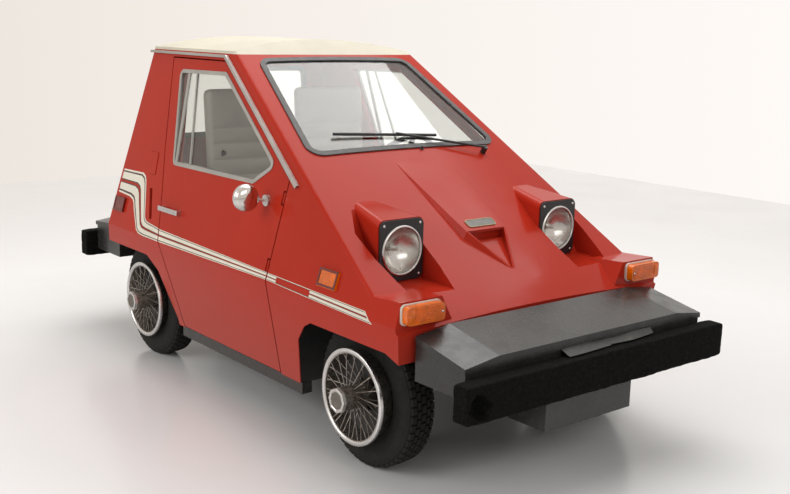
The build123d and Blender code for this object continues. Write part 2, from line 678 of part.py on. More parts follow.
def front_tub():
    """Footwell between the front wheels, with the wheelhouse tops on both sides of it."""
    z0 = SILL_TOP_Z + PLATE
    z1 = WHEELHOUSE_Z
    half = RAIL_INNER_X
    back = SILL_FRONT_Y + PLATE
    shelf = box(-700, 700, NOSE_TIP_Y, back, z1, z1 + PLATE)
    well = box(-half, half, FOOTWELL_FRONT_Y, back, z0 - PLATE, z1)
    bulkhead = box(-700, 700, SILL_FRONT_Y, back, z0, z1)
    tub = (shelf + well + bulkhead) & body_volume(WALL)
    return tub - box(-half + PLATE, half - PLATE, FOOTWELL_FRONT_Y + PLATE, back + 1, z0, z1 + PLATE + 1)


def rear_tub():
    """Bulkhead behind the seats, the shelf over the axle and the front walls of the wheelhouses."""
    z0 = SILL_TOP_Z + PLATE
    z1 = WHEELHOUSE_Z
    shelf = box(-700, 700, REAR_BULKHEAD_Y, REAR_TIP_Y, z1, z1 + PLATE)
    bulkhead = box(-700, 700, REAR_BULKHEAD_Y, REAR_BULKHEAD_Y + PLATE, z0 - PLATE, z1)
    tub = (shelf + bulkhead) & body_volume(WALL)
    tub = tub - box(WHEELHOUSE_X, 700, 600, REAR_BULKHEAD_Y + 50, 0, z1)
    tub = tub - box(-700, -WHEELHOUSE_X, 600, REAR_BULKHEAD_Y + 50, 0, z1)
    lean = [(WHEELHOUSE_FOOT_Y, z0), (WHEELHOUSE_HEAD_Y, z1), (WHEELHOUSE_HEAD_Y, z1 + PLATE),
            (WHEELHOUSE_HEAD_Y + PLATE, z1 + PLATE), (REAR_BULKHEAD_Y, z1 + PLATE), (REAR_BULKHEAD_Y, z0)]
    core = [(WHEELHOUSE_FOOT_Y + PLATE, z0 - 1), (WHEELHOUSE_HEAD_Y + PLATE, z1), (REAR_BULKHEAD_Y + 50, z1),
            (REAR_BULKHEAD_Y + 50, z0 - 1)]
    for _, side in SIDES:
        house = side_prism(lean, WHEELHOUSE_X - PLATE, 700) - side_prism(core, WHEELHOUSE_X, 701)
        tub = tub + side(house & body_volume(DOOR_DEPTH + 8))
    return tub


def sill():
    return box(SILL_OUTER_X - SILL_WIDTH, SILL_OUTER_X, SILL_FRONT_Y, SILL_BACK_Y, SILL_BOTTOM_Z, SILL_TOP_Z)


def rail(y0, y1):
    outer = box(RAIL_INNER_X, RAIL_INNER_X + RAIL_WIDTH, y0, y1, BOX_BOTTOM_Z - RAIL_HEIGHT, BOX_BOTTOM_Z)
    return outer - box(RAIL_INNER_X + PLATE, RAIL_INNER_X + RAIL_WIDTH - PLATE, y0 + PLATE, y1 - PLATE,
                       BOX_BOTTOM_Z - RAIL_HEIGHT + PLATE, BOX_BOTTOM_Z - PLATE)


front_rail = rail(FRONT_BOX_OUTER_Y, SILL_FRONT_Y)
rear_rail = rail(REAR_BULKHEAD_Y + PLATE, REAR_BOX_OUTER_Y)
keep("floor_pan", floor_pan())
keep("front_tub", front_tub())
keep("rear_tub", rear_tub())
keep("sills", group(sill(), mirrored(sill())))
keep("chassis_rails", group(front_rail, mirrored(front_rail), rear_rail, mirrored(rear_rail)))


# ================================================================ battery boxes, lids and bumpers
def lid_volume(y_inner, y_outer, z_inner, z_outer, inset, skirt):
    """The creased top of a battery lid from its hinged edge to its outer edge, grown down by skirt."""
    def section(y, z):
        half = BOX_HALF + 6 - inset
        wing = LID_WING_X - inset / 2
        z = z - inset
        outline = Polyline((-half, z - LID_WING_DROP - skirt), (half, z - LID_WING_DROP - skirt),
                           (half, z - LID_WING_DROP), (wing, z), (-wing, z), (-half, z - LID_WING_DROP),
                           close=True)
        return Plane(origin=(0, y, 0), x_dir=(1, 0, 0), z_dir=(0, -1, 0)) * make_face(outline)
    step = math.copysign(inset, y_outer - y_inner)
    return loft([section(y_inner + step, z_inner), section(y_outer - step, z_outer)], ruled=True)


def hinge_axis(y_inner, z_inner, out):
    return y_inner + out * -2, z_inner - 8


def lid_and_box(y_inner, y_outer, z_inner, z_outer):
    """A battery box open at the top and its lid, hinged along the edge nearest the cabin."""
    out = math.copysign(1, y_outer - y_inner)
    edge = y_inner + out * 4
    rim = y_outer + out * 4
    slope = (z_inner - z_outer) / abs(rim - edge)
    lid = lid_volume(edge, rim, z_inner, z_outer, 0, LID_LIP)
    lid = lid - lid_volume(edge - out * 30, rim, z_inner + slope * 30, z_outer, LID_WALL, LID_LIP + 20)
    y_pin, z_pin = hinge_axis(y_inner, z_inner, out)
    y0, y1 = sorted((y_inner, y_outer))
    tray = box(-BOX_HALF, BOX_HALF, y0, y1, BOX_BOTTOM_Z, 700)
    rise = (z_inner - z_outer) * 60 / (y1 - y0)
    under = lid_volume(y_inner - out * 60, y_outer + out * 60, z_inner + rise, z_outer - rise,
                       LID_WALL + LID_REST, 200)
    tray = (tray & under) - box(-BOX_HALF + PLATE, BOX_HALF - PLATE, y0 + PLATE, y1 - PLATE,
                                BOX_BOTTOM_Z + PLATE, 700)
    ya, yb = sorted((y_inner - out, y_inner + out * (PLATE + 1)))
    tray = tray - box(-BOX_HALF + PLATE, BOX_HALF - PLATE, ya, yb, z_pin - 3, 700)
    for x in (-HINGE_X, HINGE_X):
        notch = HINGE_WIDTH / 2 + 2
        tray = tray - box(x - notch, x + notch, y0 - 1, y1 + 1, z_pin - HINGE_RADIUS - 3, 700)
        boss = Pos(x, y_pin, z_pin) * Cylinder(HINGE_RADIUS, HINGE_WIDTH, rotation=(0, 90, 0))
        ya, yb = sorted((y_pin, edge + out * 12))
        boss = boss + box(x - HINGE_WIDTH / 2, x + HINGE_WIDTH / 2, ya, yb, z_pin, z_pin + HINGE_RADIUS + 0.5)
        boss = boss - Pos(x, y_pin, z_pin) * Cylinder(HINGE_PIN_RADIUS + HINGE_FIT, 200, rotation=(0, 90, 0))
        lid = lid + boss
        reach = HINGE_WIDTH / 2 + 2
        pin = Pos(x, y_pin, z_pin) * Cylinder(HINGE_PIN_RADIUS, 2 * reach + 12, rotation=(0, 90, 0))
        tray = tray + pin
        for ear in (x - reach - 6, x + reach):
            ya, yb = sorted((y_pin - out * HINGE_RADIUS, y_inner + out * PLATE))
            tray = tray + box(ear, ear + 6, ya, yb, z_pin - 50, z_pin + HINGE_RADIUS)
    return lid, tray


def bumper(y_inner, out, rise):
    y_outer = y_inner + out * BUMPER_DEPTH
    plan = Polyline((-BUMPER_HALF, y_inner), (BUMPER_HALF, y_inner), (BUMPER_HALF, y_outer - out * 30),
                    (BUMPER_HALF - 22, y_outer), (-BUMPER_HALF + 22, y_outer),
                    (-BUMPER_HALF, y_outer - out * 30), close=True)
    bar = extrude(Plane.XY.offset(BUMPER_BOTTOM_Z + rise) * make_face(plan), amount=BUMPER_TOP_Z - BUMPER_BOTTOM_Z)
    return fillet(bar.edges(), 12)


def bumper_brackets(y0, y1):
    y0, y1 = sorted((y0, y1))
    left = box(BRACKET_X, BRACKET_X + BRACKET_WIDTH, y0, y1, BRACKET_BOTTOM_Z, BRACKET_TOP_Z)
    return left + mirrored(left)


def batteries(y0, y1):
    y0, y1 = sorted((y0, y1))
    return box(-BATTERY_X, BATTERY_X, y0 + 20, y1 - 20, BOX_BOTTOM_Z + PLATE, BATTERY_TOP_Z)


front_lid, front_tray = lid_and_box(FRONT_BOX_INNER_Y, FRONT_BOX_OUTER_Y, FRONT_LID_INNER_Z, FRONT_LID_OUTER_Z)
rear_lid, rear_tray = lid_and_box(REAR_BOX_INNER_Y, REAR_BOX_OUTER_Y, REAR_LID_INNER_Z, REAR_LID_OUTER_Z)
front_tray = front_tray + bumper_brackets(FRONT_BOX_OUTER_Y, FRONT_BUMPER_BACK_Y)
rear_tray = rear_tray + bumper_brackets(REAR_BOX_OUTER_Y, REAR_BUMPER_FRONT_Y)
keep("front_battery_lid", front_lid)
keep("front_battery_box", front_tray)
keep("rear_battery_lid", rear_lid)
keep("rear_battery_box", rear_tray)
keep("front_bumper", bumper(FRONT_BUMPER_BACK_Y, -1, 0))
keep("rear_bumper", bumper(REAR_BUMPER_FRONT_Y, 1, REAR_BUMPER_RISE))
keep("batteries", group(batteries(FRONT_BOX_INNER_Y, FRONT_BOX_OUTER_Y),
                                     batteries(REAR_BOX_INNER_Y, REAR_BOX_OUTER_Y)))
keep("charger_box", box(-LOWER_BOX_HALF, LOWER_BOX_HALF, FRONT_BOX_OUTER_Y, FRONT_BOX_OUTER_Y + LOWER_BOX_LENGTH,
                        LOWER_BOX_BOTTOM_Z, BOX_BOTTOM_Z))


# ================================================================ wheels and tyres
def tyre():
    """A tyre about the X axis, centred on the origin."""
    half = TYRE_WIDTH / 2
    tread = TREAD_WIDTH / 2
    bulge = (RIM_RADIUS + TYRE_RADIUS) / 2 + 4
    outline = [Line((-tread, RIM_RADIUS), (tread, RIM_RADIUS)),
               ThreePointArc((tread, RIM_RADIUS), (half, bulge), (tread, TYRE_RADIUS - 5)),
               Line((tread, TYRE_RADIUS - 5), (tread - 6, TYRE_RADIUS)),
               Line((tread - 6, TYRE_RADIUS), (-tread + 6, TYRE_RADIUS)),
               Line((-tread + 6, TYRE_RADIUS), (-tread, TYRE_RADIUS - 5)),
               ThreePointArc((-tread, TYRE_RADIUS - 5), (-half, bulge), (-tread, RIM_RADIUS))]
    return revolve(make_face(Curve() + outline), axis=Axis.X)


def ring_profile(points):
    return revolve(make_face(Polyline(*points, close=True)), axis=Axis.X)


def wheel(cover):
    """Rim, hub and wire cover about the X axis, outer side towards +X, cover ring at x = cover."""
    tread = TREAD_WIDTH / 2
    rim = ring_profile([(-tread, RIM_RADIUS), (tread, RIM_RADIUS), (cover - 6, COVER_RING_RADIUS - 8),
                        (cover - 6, COVER_RING_RADIUS), (cover, COVER_RING_RADIUS - 2),
                        (cover, COVER_RING_RADIUS - COVER_RING_WIDTH), (tread, RIM_RADIUS - 12),
                        (20, RIM_RADIUS - 12), (12, HUB_RADIUS), (6, HUB_RADIUS), (12, RIM_RADIUS - 16),
                        (-tread, RIM_RADIUS - 12)])
    hub = ring_profile([(-8, HUB_BORE_RADIUS), (-8, HUB_RADIUS), (cover + 6, HUB_RADIUS - 4),
                        (cover + 6, HUB_BORE_RADIUS)])
    body = rim + hub
    ring_r = COVER_RING_RADIUS - COVER_RING_WIDTH + 2
    spokes = []
    for i in range(SPOKE_PAIRS):
        for lead, root_x, root_r in ((16, cover + 2, HUB_RADIUS - 6), (-16, cover - 42, HUB_RADIUS - 3)):
            a = math.radians(i * 360 / SPOKE_PAIRS + (5 if lead < 0 else 0))
            b = a + math.radians(lead)
            foot = (root_x, root_r * math.cos(a), root_r * math.sin(a))
            head = (cover - 5, ring_r * math.cos(b), ring_r * math.sin(b))
            spokes.append(spoke(foot, head))
    return body + spokes + hub_cap(cover)


def spoke(foot, head):
    foot, head = Vector(*foot), Vector(*head)
    return extrude(Plane(origin=foot, z_dir=head - foot) * Rectangle(3.2, 3.2), amount=(head - foot).length)


def hub_cap(cover):
    flat = Plane(origin=(cover, 0, 0), x_dir=(0, 1, 0), z_dir=(1, 0, 0))
    barrel = extrude(flat * Circle(HUB_RADIUS - 4), amount=HUB_CAP_LENGTH - 12)
    head = extrude(flat.offset(HUB_CAP_LENGTH - 14) * RegularPolygon(HUB_CAP_WIDTH / 2, 8, major_radius=False),
                   amount=14)
    return barrel + head - extrude(flat.offset(-1) * Circle(HUB_BORE_RADIUS), amount=20)


front_wheel = wheel(FRONT_COVER_X - FRONT_WHEEL_X)
rear_wheel = wheel(REAR_COVER_X - REAR_WHEEL_X)
rubber = tyre()
for axle, y, x, rim in (("front", FRONT_AXLE_Y, FRONT_WHEEL_X, front_wheel),
                        ("rear", REAR_AXLE_Y, REAR_WHEEL_X, rear_wheel)):
    for side, turn in SIDES:
        keep(f"wheel_{axle}_{side}", turn(Pos(x, y, TYRE_RADIUS) * rim))
        keep(f"tyre_{axle}_{side}", turn(Pos(x, y, TYRE_RADIUS) * rubber))


# ================================================================ axles, knuckles and springs
STUB_RADIUS = HUB_BORE_RADIUS - RUNNING_CLEARANCE


def knuckle():
    y = FRONT_AXLE_Y
    z = TYRE_RADIUS
    height = 2 * (YOKE_HALF_HEIGHT - YOKE_THICKNESS - RUNNING_CLEARANCE)
    boss = Pos(KINGPIN_X, y, z) * Cylinder(BOSS_RADIUS, height)
    stub = tube_between((KINGPIN_X, y, z), (FRONT_COVER_X - 4, y, z), STUB_RADIUS)
    collar = tube_between((KINGPIN_X, y, z), (FRONT_WHEEL_X - 8 - RUNNING_CLEARANCE, y, z), STUB_RADIUS + 8)
    arm = box(KINGPIN_X - 12, KINGPIN_X + 12, y, y + ARM_LENGTH, z - 44, z - 28)
    whole = boss + stub + collar + arm
    return whole - Pos(KINGPIN_X, y, z) * Cylinder(KINGPIN_RADIUS + RUNNING_CLEARANCE, 300)


def front_axle():
    y = FRONT_AXLE_Y
    z = TYRE_RADIUS
    inner = KINGPIN_X - BOSS_RADIUS - 14
    beam = box(-inner, inner, y - AXLE_DEPTH / 2, y + AXLE_DEPTH / 2, z - AXLE_HEIGHT / 2, z + AXLE_HEIGHT / 2)
    for _, side in SIDES:
        web = box(inner - 14, inner, y - 22, y + 22, z - YOKE_HALF_HEIGHT, z + YOKE_HALF_HEIGHT)
        yoke = web
        for z0 in (z - YOKE_HALF_HEIGHT, z + YOKE_HALF_HEIGHT - YOKE_THICKNESS):
            yoke = yoke + box(inner - 14, KINGPIN_X, y - 22, y + 22, z0, z0 + YOKE_THICKNESS)
            yoke = yoke + Pos(KINGPIN_X, y, z0 + YOKE_THICKNESS / 2) * Cylinder(22, YOKE_THICKNESS)
        pin = Pos(KINGPIN_X, y, z) * Cylinder(KINGPIN_RADIUS, 2 * YOKE_HALF_HEIGHT)
        beam = beam + side(yoke + pin)
    return beam


def rear_axle():
    z = TYRE_RADIUS
    tube_end = REAR_WHEEL_X - 8 - RUNNING_CLEARANCE
    tube = tube_between((-tube_end, REAR_AXLE_Y, z), (tube_end, REAR_AXLE_Y, z), REAR_TUBE_RADIUS)
    stub_end = REAR_COVER_X - 4
    stubs = tube_between((-stub_end, REAR_AXLE_Y, z), (stub_end, REAR_AXLE_Y, z), STUB_RADIUS)
    casing = Pos(0, REAR_AXLE_Y, z) * Sphere(CASING_RADIUS)
    nose = tube_between((0, REAR_AXLE_Y, z), (0, REAR_AXLE_Y + CASING_RADIUS + 20, z), 55)
    motor = tube_between((0, REAR_AXLE_Y + CASING_RADIUS + 10, z),
                         (0, REAR_AXLE_Y + CASING_RADIUS + 10 + MOTOR_LENGTH, z), MOTOR_RADIUS)
    return tube + stubs + casing + nose + motor


def leaf_spring(y, seat_z, reach):
    """A leaf bowed down from its two rail hangers to its seat on the axle."""
    top = BOX_BOTTOM_Z - RAIL_HEIGHT
    x0 = RAIL_INNER_X
    bottom = top - LEAF_THICKNESS
    low = ThreePointArc((y - reach, bottom), (y, seat_z), (y + reach, bottom))
    high = ThreePointArc((y + reach, top), (y, seat_z + LEAF_THICKNESS), (y - reach, top))
    face = make_face(Curve() + [low, Line(low @ 1, high @ 0), high, Line(high @ 1, low @ 0)])
    flat = Plane(origin=(x0, 0, 0), x_dir=(0, 1, 0), z_dir=(1, 0, 0))
    return extrude(flat * face, amount=LEAF_WIDTH)


front_leaf = leaf_spring(FRONT_AXLE_Y, TYRE_RADIUS + AXLE_HEIGHT / 2, FRONT_LEAF_REACH)
rear_leaf = leaf_spring(REAR_AXLE_Y, TYRE_RADIUS + REAR_TUBE_RADIUS, REAR_LEAF_REACH)
keep("front_axle", front_axle())
keep("rear_axle_and_motor", rear_axle())
keep("leaf_springs", group(front_leaf, mirrored(front_leaf), rear_leaf, mirrored(rear_leaf)))
keep("knuckle_left", knuckle())
keep("knuckle_right", mirrored(knuckle()))


# ================================================================ cabin


def dashboard():
    section = [(-470, 860), (-340, 925), (-150, 930), (-128, 905), (-150, 770), (-470, 740)]
    whole = side_prism(section, -700, 700)
    ahead = whole & body_volume(WALL) & box(-700, 700, -500, DASH_STEP_Y, 0, 2000)
    beside = whole & body_volume(DOOR_DEPTH + 8) & box(-700, 700, DASH_STEP_Y, 0, 0, 2000)
    return ahead + beside


COLUMN_AXIS = Vector(0, math.cos(math.radians(COLUMN_RAKE)), math.sin(math.radians(COLUMN_RAKE)))
STEERING_PLANE = Plane(origin=(STEERING_X, STEERING_Y, STEERING_Z), x_dir=(1, 0, 0), z_dir=COLUMN_AXIS)


def steering_column():
    tube = extrude(STEERING_PLANE.offset(-300) * Circle(COLUMN_RADIUS), amount=260)
    bore = extrude(STEERING_PLANE.offset(-170) * Circle(SHAFT_RADIUS + RUNNING_CLEARANCE), amount=140)
    return tube - bore


def steering_wheel():
    rim = STEERING_PLANE * Torus(STEERING_RADIUS, STEERING_GRIP)
    hub = extrude(STEERING_PLANE.offset(-34) * Circle(30), amount=44)
    shaft = extrude(STEERING_PLANE.offset(-160) * Circle(SHAFT_RADIUS), amount=130)
    wheel = rim + hub + shaft
    for angle in (0, 180, 270):
        bar = extrude(Plane.XY.offset(-5) * (Pos(STEERING_RADIUS / 2, 0) * Rectangle(STEERING_RADIUS, 24)), amount=8)
        wheel = wheel + STEERING_PLANE * (Rot(0, 0, angle) * bar)
    return wheel


def seat_base():
    return box(SEAT_X - SEAT_WIDTH / 2 + 30, SEAT_X + SEAT_WIDTH / 2 - 30, SEAT_FRONT_Y + 30, SEAT_BACK_Y - 20,
               SILL_TOP_Z + PLATE, SEAT_BASE_Z)


def seat():
    cushion = box(SEAT_X - SEAT_WIDTH / 2, SEAT_X + SEAT_WIDTH / 2, SEAT_FRONT_Y, SEAT_BACK_Y - 30,
                  SEAT_BASE_Z + SEAT_CLEARANCE, SEAT_TOP_Z)
    cushion = fillet(cushion.edges(), 25)
    lean = [(SEAT_BACK_Y - 30 + SEAT_CLEARANCE, SEAT_BASE_Z + 30), (SEAT_BACK_Y + 60, SEAT_BASE_Z + 30),
            (SEAT_BACK_Y + 115, SEAT_BACK_TOP_Z), (SEAT_BACK_Y + 35, SEAT_BACK_TOP_Z),
            (SEAT_BACK_Y - 30 + SEAT_CLEARANCE, SEAT_TOP_Z + 20)]
    back = side_prism(lean, SEAT_X - SEAT_WIDTH / 2 + 12, SEAT_X + SEAT_WIDTH / 2 - 12)
    return group(cushion, back)


left_base = seat_base()
keep("dashboard", dashboard())
keep("steering_column", steering_column() - dashboard())
keep("steering_wheel", steering_wheel())
keep("seat_bases", group(left_base, mirrored(left_base)))
keep("seat_left", seat())
keep("seat_right", mirrored(seat()))


# ================================================================ wiper
def wiper():
    def on_screen(x, s, lift):
        return tuple(HOOD_PLANE.from_local_coords((x, s, lift)))
    arm = tube_between(on_screen(356, -756, 36), on_screen(-30, -624, 29), 5)
    blade = tube_between(on_screen(-322, -600, 22), on_screen(171, -642, 22), 6)
    pivot = tube_between(on_screen(356, -756, -4), on_screen(356, -756, 38), 12)
    return pivot + arm + blade


keep("wiper", wiper() - outer)

for name, shape in parts.items():
    export_step(Pos(0, -MIDDLE_Y, 0) * shape, f"parts/{name}.step")
print(len(parts), "pieces; frame origin at y", MIDDLE_Y)
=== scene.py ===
import json
import math

import bmesh
import bpy
from mathutils import Matrix, Vector, noise


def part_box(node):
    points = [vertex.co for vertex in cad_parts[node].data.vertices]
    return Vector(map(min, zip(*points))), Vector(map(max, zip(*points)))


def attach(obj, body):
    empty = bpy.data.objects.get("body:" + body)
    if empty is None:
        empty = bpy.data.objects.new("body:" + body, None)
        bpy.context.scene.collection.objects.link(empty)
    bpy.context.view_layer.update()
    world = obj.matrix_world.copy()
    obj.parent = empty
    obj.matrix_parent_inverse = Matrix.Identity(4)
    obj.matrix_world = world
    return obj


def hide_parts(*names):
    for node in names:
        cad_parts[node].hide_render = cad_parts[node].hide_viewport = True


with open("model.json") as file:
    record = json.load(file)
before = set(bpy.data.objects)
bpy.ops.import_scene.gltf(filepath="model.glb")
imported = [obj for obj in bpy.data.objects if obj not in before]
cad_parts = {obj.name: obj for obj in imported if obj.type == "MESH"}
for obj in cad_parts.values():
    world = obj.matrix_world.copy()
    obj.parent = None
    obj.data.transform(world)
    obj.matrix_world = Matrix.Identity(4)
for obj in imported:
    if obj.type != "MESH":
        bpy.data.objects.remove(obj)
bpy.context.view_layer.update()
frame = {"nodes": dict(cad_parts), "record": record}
nodes = frame["nodes"]

# -------- sizes, in millimetres
MIDDLE = 48  # stations along Y are given from mid-wheelbase; the frame's origin stands this far behind it
CREASE_Z = 565
EDGE_Z, EDGE_HALF = 1396, 459
LEAN, TUCK = 0.2365, 0.162
WHEELS = {"front_left": (531, -800), "front_right": (-531, -800),
          "rear_left": (545, 800), "rear_right": (-545, 800)}
AXLE_Z = 262
BODY = "car_body"
HANDS = ((1, "left"), (-1, "right"))
ON_AXIS = 0.1  # radius that closes a turned form at its axis


def at(x, y, z):
    return Vector((x, y - MIDDLE, z)) / 1000


def side_half(z):
    """Half the body's width at a height."""
    half = EDGE_HALF + (EDGE_Z - z) * LEAN
    return half if z >= CREASE_Z else EDGE_HALF + (EDGE_Z - CREASE_Z) * LEAN - (CREASE_Z - z) * TUCK


def on_side(hand, y, z, proud):
    """A point on the body's side, standing proud of it by so much."""
    slope = LEAN if z >= CREASE_Z else -TUCK
    push = proud / math.hypot(1, slope)
    return at(hand * (side_half(z) + push), y, z + push * slope)


# -------- camera
AZIMUTH, ELEVATION, ROLL = math.radians(-39.03), math.radians(11.76), math.radians(1.37)
LENS, SENSOR_WIDTH = 48.48, 36
CAMERA_AT = Vector((-2.71694, -3.62979, 1.51429))


def make_camera():
    back = Vector((math.sin(AZIMUTH) * math.cos(ELEVATION), -math.cos(AZIMUTH) * math.cos(ELEVATION),
                   math.sin(ELEVATION)))
    right = Vector((math.cos(AZIMUTH), math.sin(AZIMUTH), 0))
    up = back.cross(right)
    x = right * math.cos(ROLL) + up * math.sin(ROLL)
    y = up * math.cos(ROLL) - right * math.sin(ROLL)
    data = bpy.data.cameras.new("camera")
    data.lens = LENS
    data.sensor_width = SENSOR_WIDTH
    cam = bpy.data.objects.new("camera", data)
    cam.matrix_world = Matrix.Translation(CAMERA_AT) @ Matrix((x, y, back)).transposed().to_4x4()
    bpy.context.scene.collection.objects.link(cam)
    bpy.context.scene.camera = cam


# -------- node trees
class Nodes:
    """A short way to write a node tree."""

    def __init__(self, tree):
        self.tree = tree
        self.coords = self.new("ShaderNodeTexCoord").outputs
        self.bsdf = tree.nodes.get("Principled BSDF")

    def new(self, kind):
        return self.tree.nodes.new(kind)

    def link(self, a, b):
        self.tree.links.new(a, b)

    def noise(self, scale, detail=4.0):
        tex = self.new("ShaderNodeTexNoise")
        tex.inputs["Scale"].default_value = scale
        tex.inputs["Detail"].default_value = detail
        self.link(self.coords["Object"], tex.inputs["Vector"])
        return tex.outputs["Fac"]

    def part(self, vector, axis):
        split = self.new("ShaderNodeSeparateXYZ")
        self.link(vector, split.inputs["Vector"])
        return split.outputs[axis]

    def height(self, low, high):
        """0 at low and 1 at high, in metres over the floor."""
        return self.span(self.part(self.coords["Object"], "Z"), low, high, 0, 1)

    def ramp(self, value, stops):
        node = self.new("ShaderNodeValToRGB")
        elements = node.color_ramp.elements
        while len(elements) < len(stops):
            elements.new(0.5)
        for element, (place, colour) in zip(elements, stops):
            element.position = place
            element.color = (*colour, 1)
        self.link(value, node.inputs["Fac"])
        return node.outputs["Color"]

    def span(self, value, low, high, out_low, out_high):
        node = self.new("ShaderNodeMapRange")
        for end, number in (("From Min", low), ("From Max", high), ("To Min", out_low), ("To Max", out_high)):
            node.inputs[end].default_value = number
        self.link(value, node.inputs["Value"])
        return node.outputs["Result"]

    def blend(self, share, a, b):
        """b over a, by a share from 0 to 1; a and b are sockets or plain colours."""
        node = self.new("ShaderNodeMix")
        node.data_type = "RGBA"
        self.link(share, node.inputs["Factor"])
        for socket, value in ((node.inputs[6], a), (node.inputs[7], b)):
            if isinstance(value, tuple):
                socket.default_value = (*value, 1)
            else:
                self.link(value, socket)
        return node.outputs[2]

    def math(self, operation, *values):
        """A math node over sockets or plain numbers."""
        node = self.new("ShaderNodeMath")
        node.operation = operation
        for socket, value in zip(node.inputs, values):
            if isinstance(value, (int, float)):
                socket.default_value = value
            else:
                self.link(value, socket)
        return node.outputs["Value"]

    def bump(self, value, distance):
        """One more bump over those that the surface already has."""
        node = self.new("ShaderNodeBump")
        node.inputs["Distance"].default_value = distance
        self.link(value, node.inputs["Height"])
        last = self.bsdf.inputs["Normal"]
        if last.links:
            self.link(last.links[0].from_socket, node.inputs["Normal"])
        self.link(node.outputs["Normal"], last)


def new_material(name):
    mat = bpy.data.materials.new(name)
    mat.use_nodes = True
    return mat, Nodes(mat.node_tree)


def shade(colour, amount):
    return tuple(min(1.0, c * amount) for c in colour)


# -------- materials
FLECK_EDGE, FLECK_SHARE = 0.03, 0.8


def surface(name, colour, rough=0.5, metal=0.0, vary=0.08, scale=6.0, rough_vary=0.08, coat=0.0, bumps=(),
            dust_and_sheen=None, wear=None, specular=0.5):
    """A material whose colour and gloss drift, with a bump for each (scale, distance).

    The tint towards the floor is (colour, height it reaches, share): real dust on most finishes, and a
    painted reflection of the white floor on the red paint; wear is (colour, how rare the flecks are, their
    scale)."""
    mat, n = new_material(name)
    tone = n.ramp(n.noise(scale), [(0.3, shade(colour, 1 - vary)), (0.7, shade(colour, 1 + vary))])
    if wear:
        fleck_colour, rarity, fleck_scale = wear
        fleck = n.span(n.noise(fleck_scale, 8), rarity, rarity + FLECK_EDGE, 0, FLECK_SHARE)
        tone = n.blend(fleck, tone, fleck_colour)
    # tint that grows towards the floor: real dust on most finishes, a painted reflection of the white floor
    # on the red paint
    if dust_and_sheen:
        dust_and_sheen_colour, reach, most = dust_and_sheen
        tone = n.blend(n.span(n.height(reach, 0.0), 0, 1, 0, most), tone, dust_and_sheen_colour)
    n.link(tone, n.bsdf.inputs["Base Color"])
    gloss = n.noise(scale * 2.7, 6)
    n.link(n.span(gloss, 0.3, 0.7, max(0.02, rough - rough_vary), min(1, rough + rough_vary)),
           n.bsdf.inputs["Roughness"])
    n.bsdf.inputs["Metallic"].default_value = metal
    n.bsdf.inputs["Specular IOR Level"].default_value = specular
    if coat:
        n.bsdf.inputs["Coat Weight"].default_value = coat
        n.bsdf.inputs["Coat Roughness"].default_value = 0.08
    for bump_scale, distance in bumps:
        n.bump(n.noise(bump_scale), distance)
    return mat


def glass(name, tint, rough, ior, bumps=()):
    mat, n = new_material(name)
    n.link(n.ramp(n.noise(3), [(0.3, shade(tint, 0.97)), (0.7, tint)]), n.bsdf.inputs["Base Color"])
    n.link(n.span(n.noise(9, 6), 0.45, 0.75, rough, rough + 0.05), n.bsdf.inputs["Roughness"])
    n.bsdf.inputs["Transmission Weight"].default_value = 1.0
    n.bsdf.inputs["IOR"].default_value = ior
    n.bsdf.inputs["Specular IOR Level"].default_value = 1.0
    for bump_scale, distance in bumps:
        n.bump(n.noise(bump_scale), distance)
    return mat


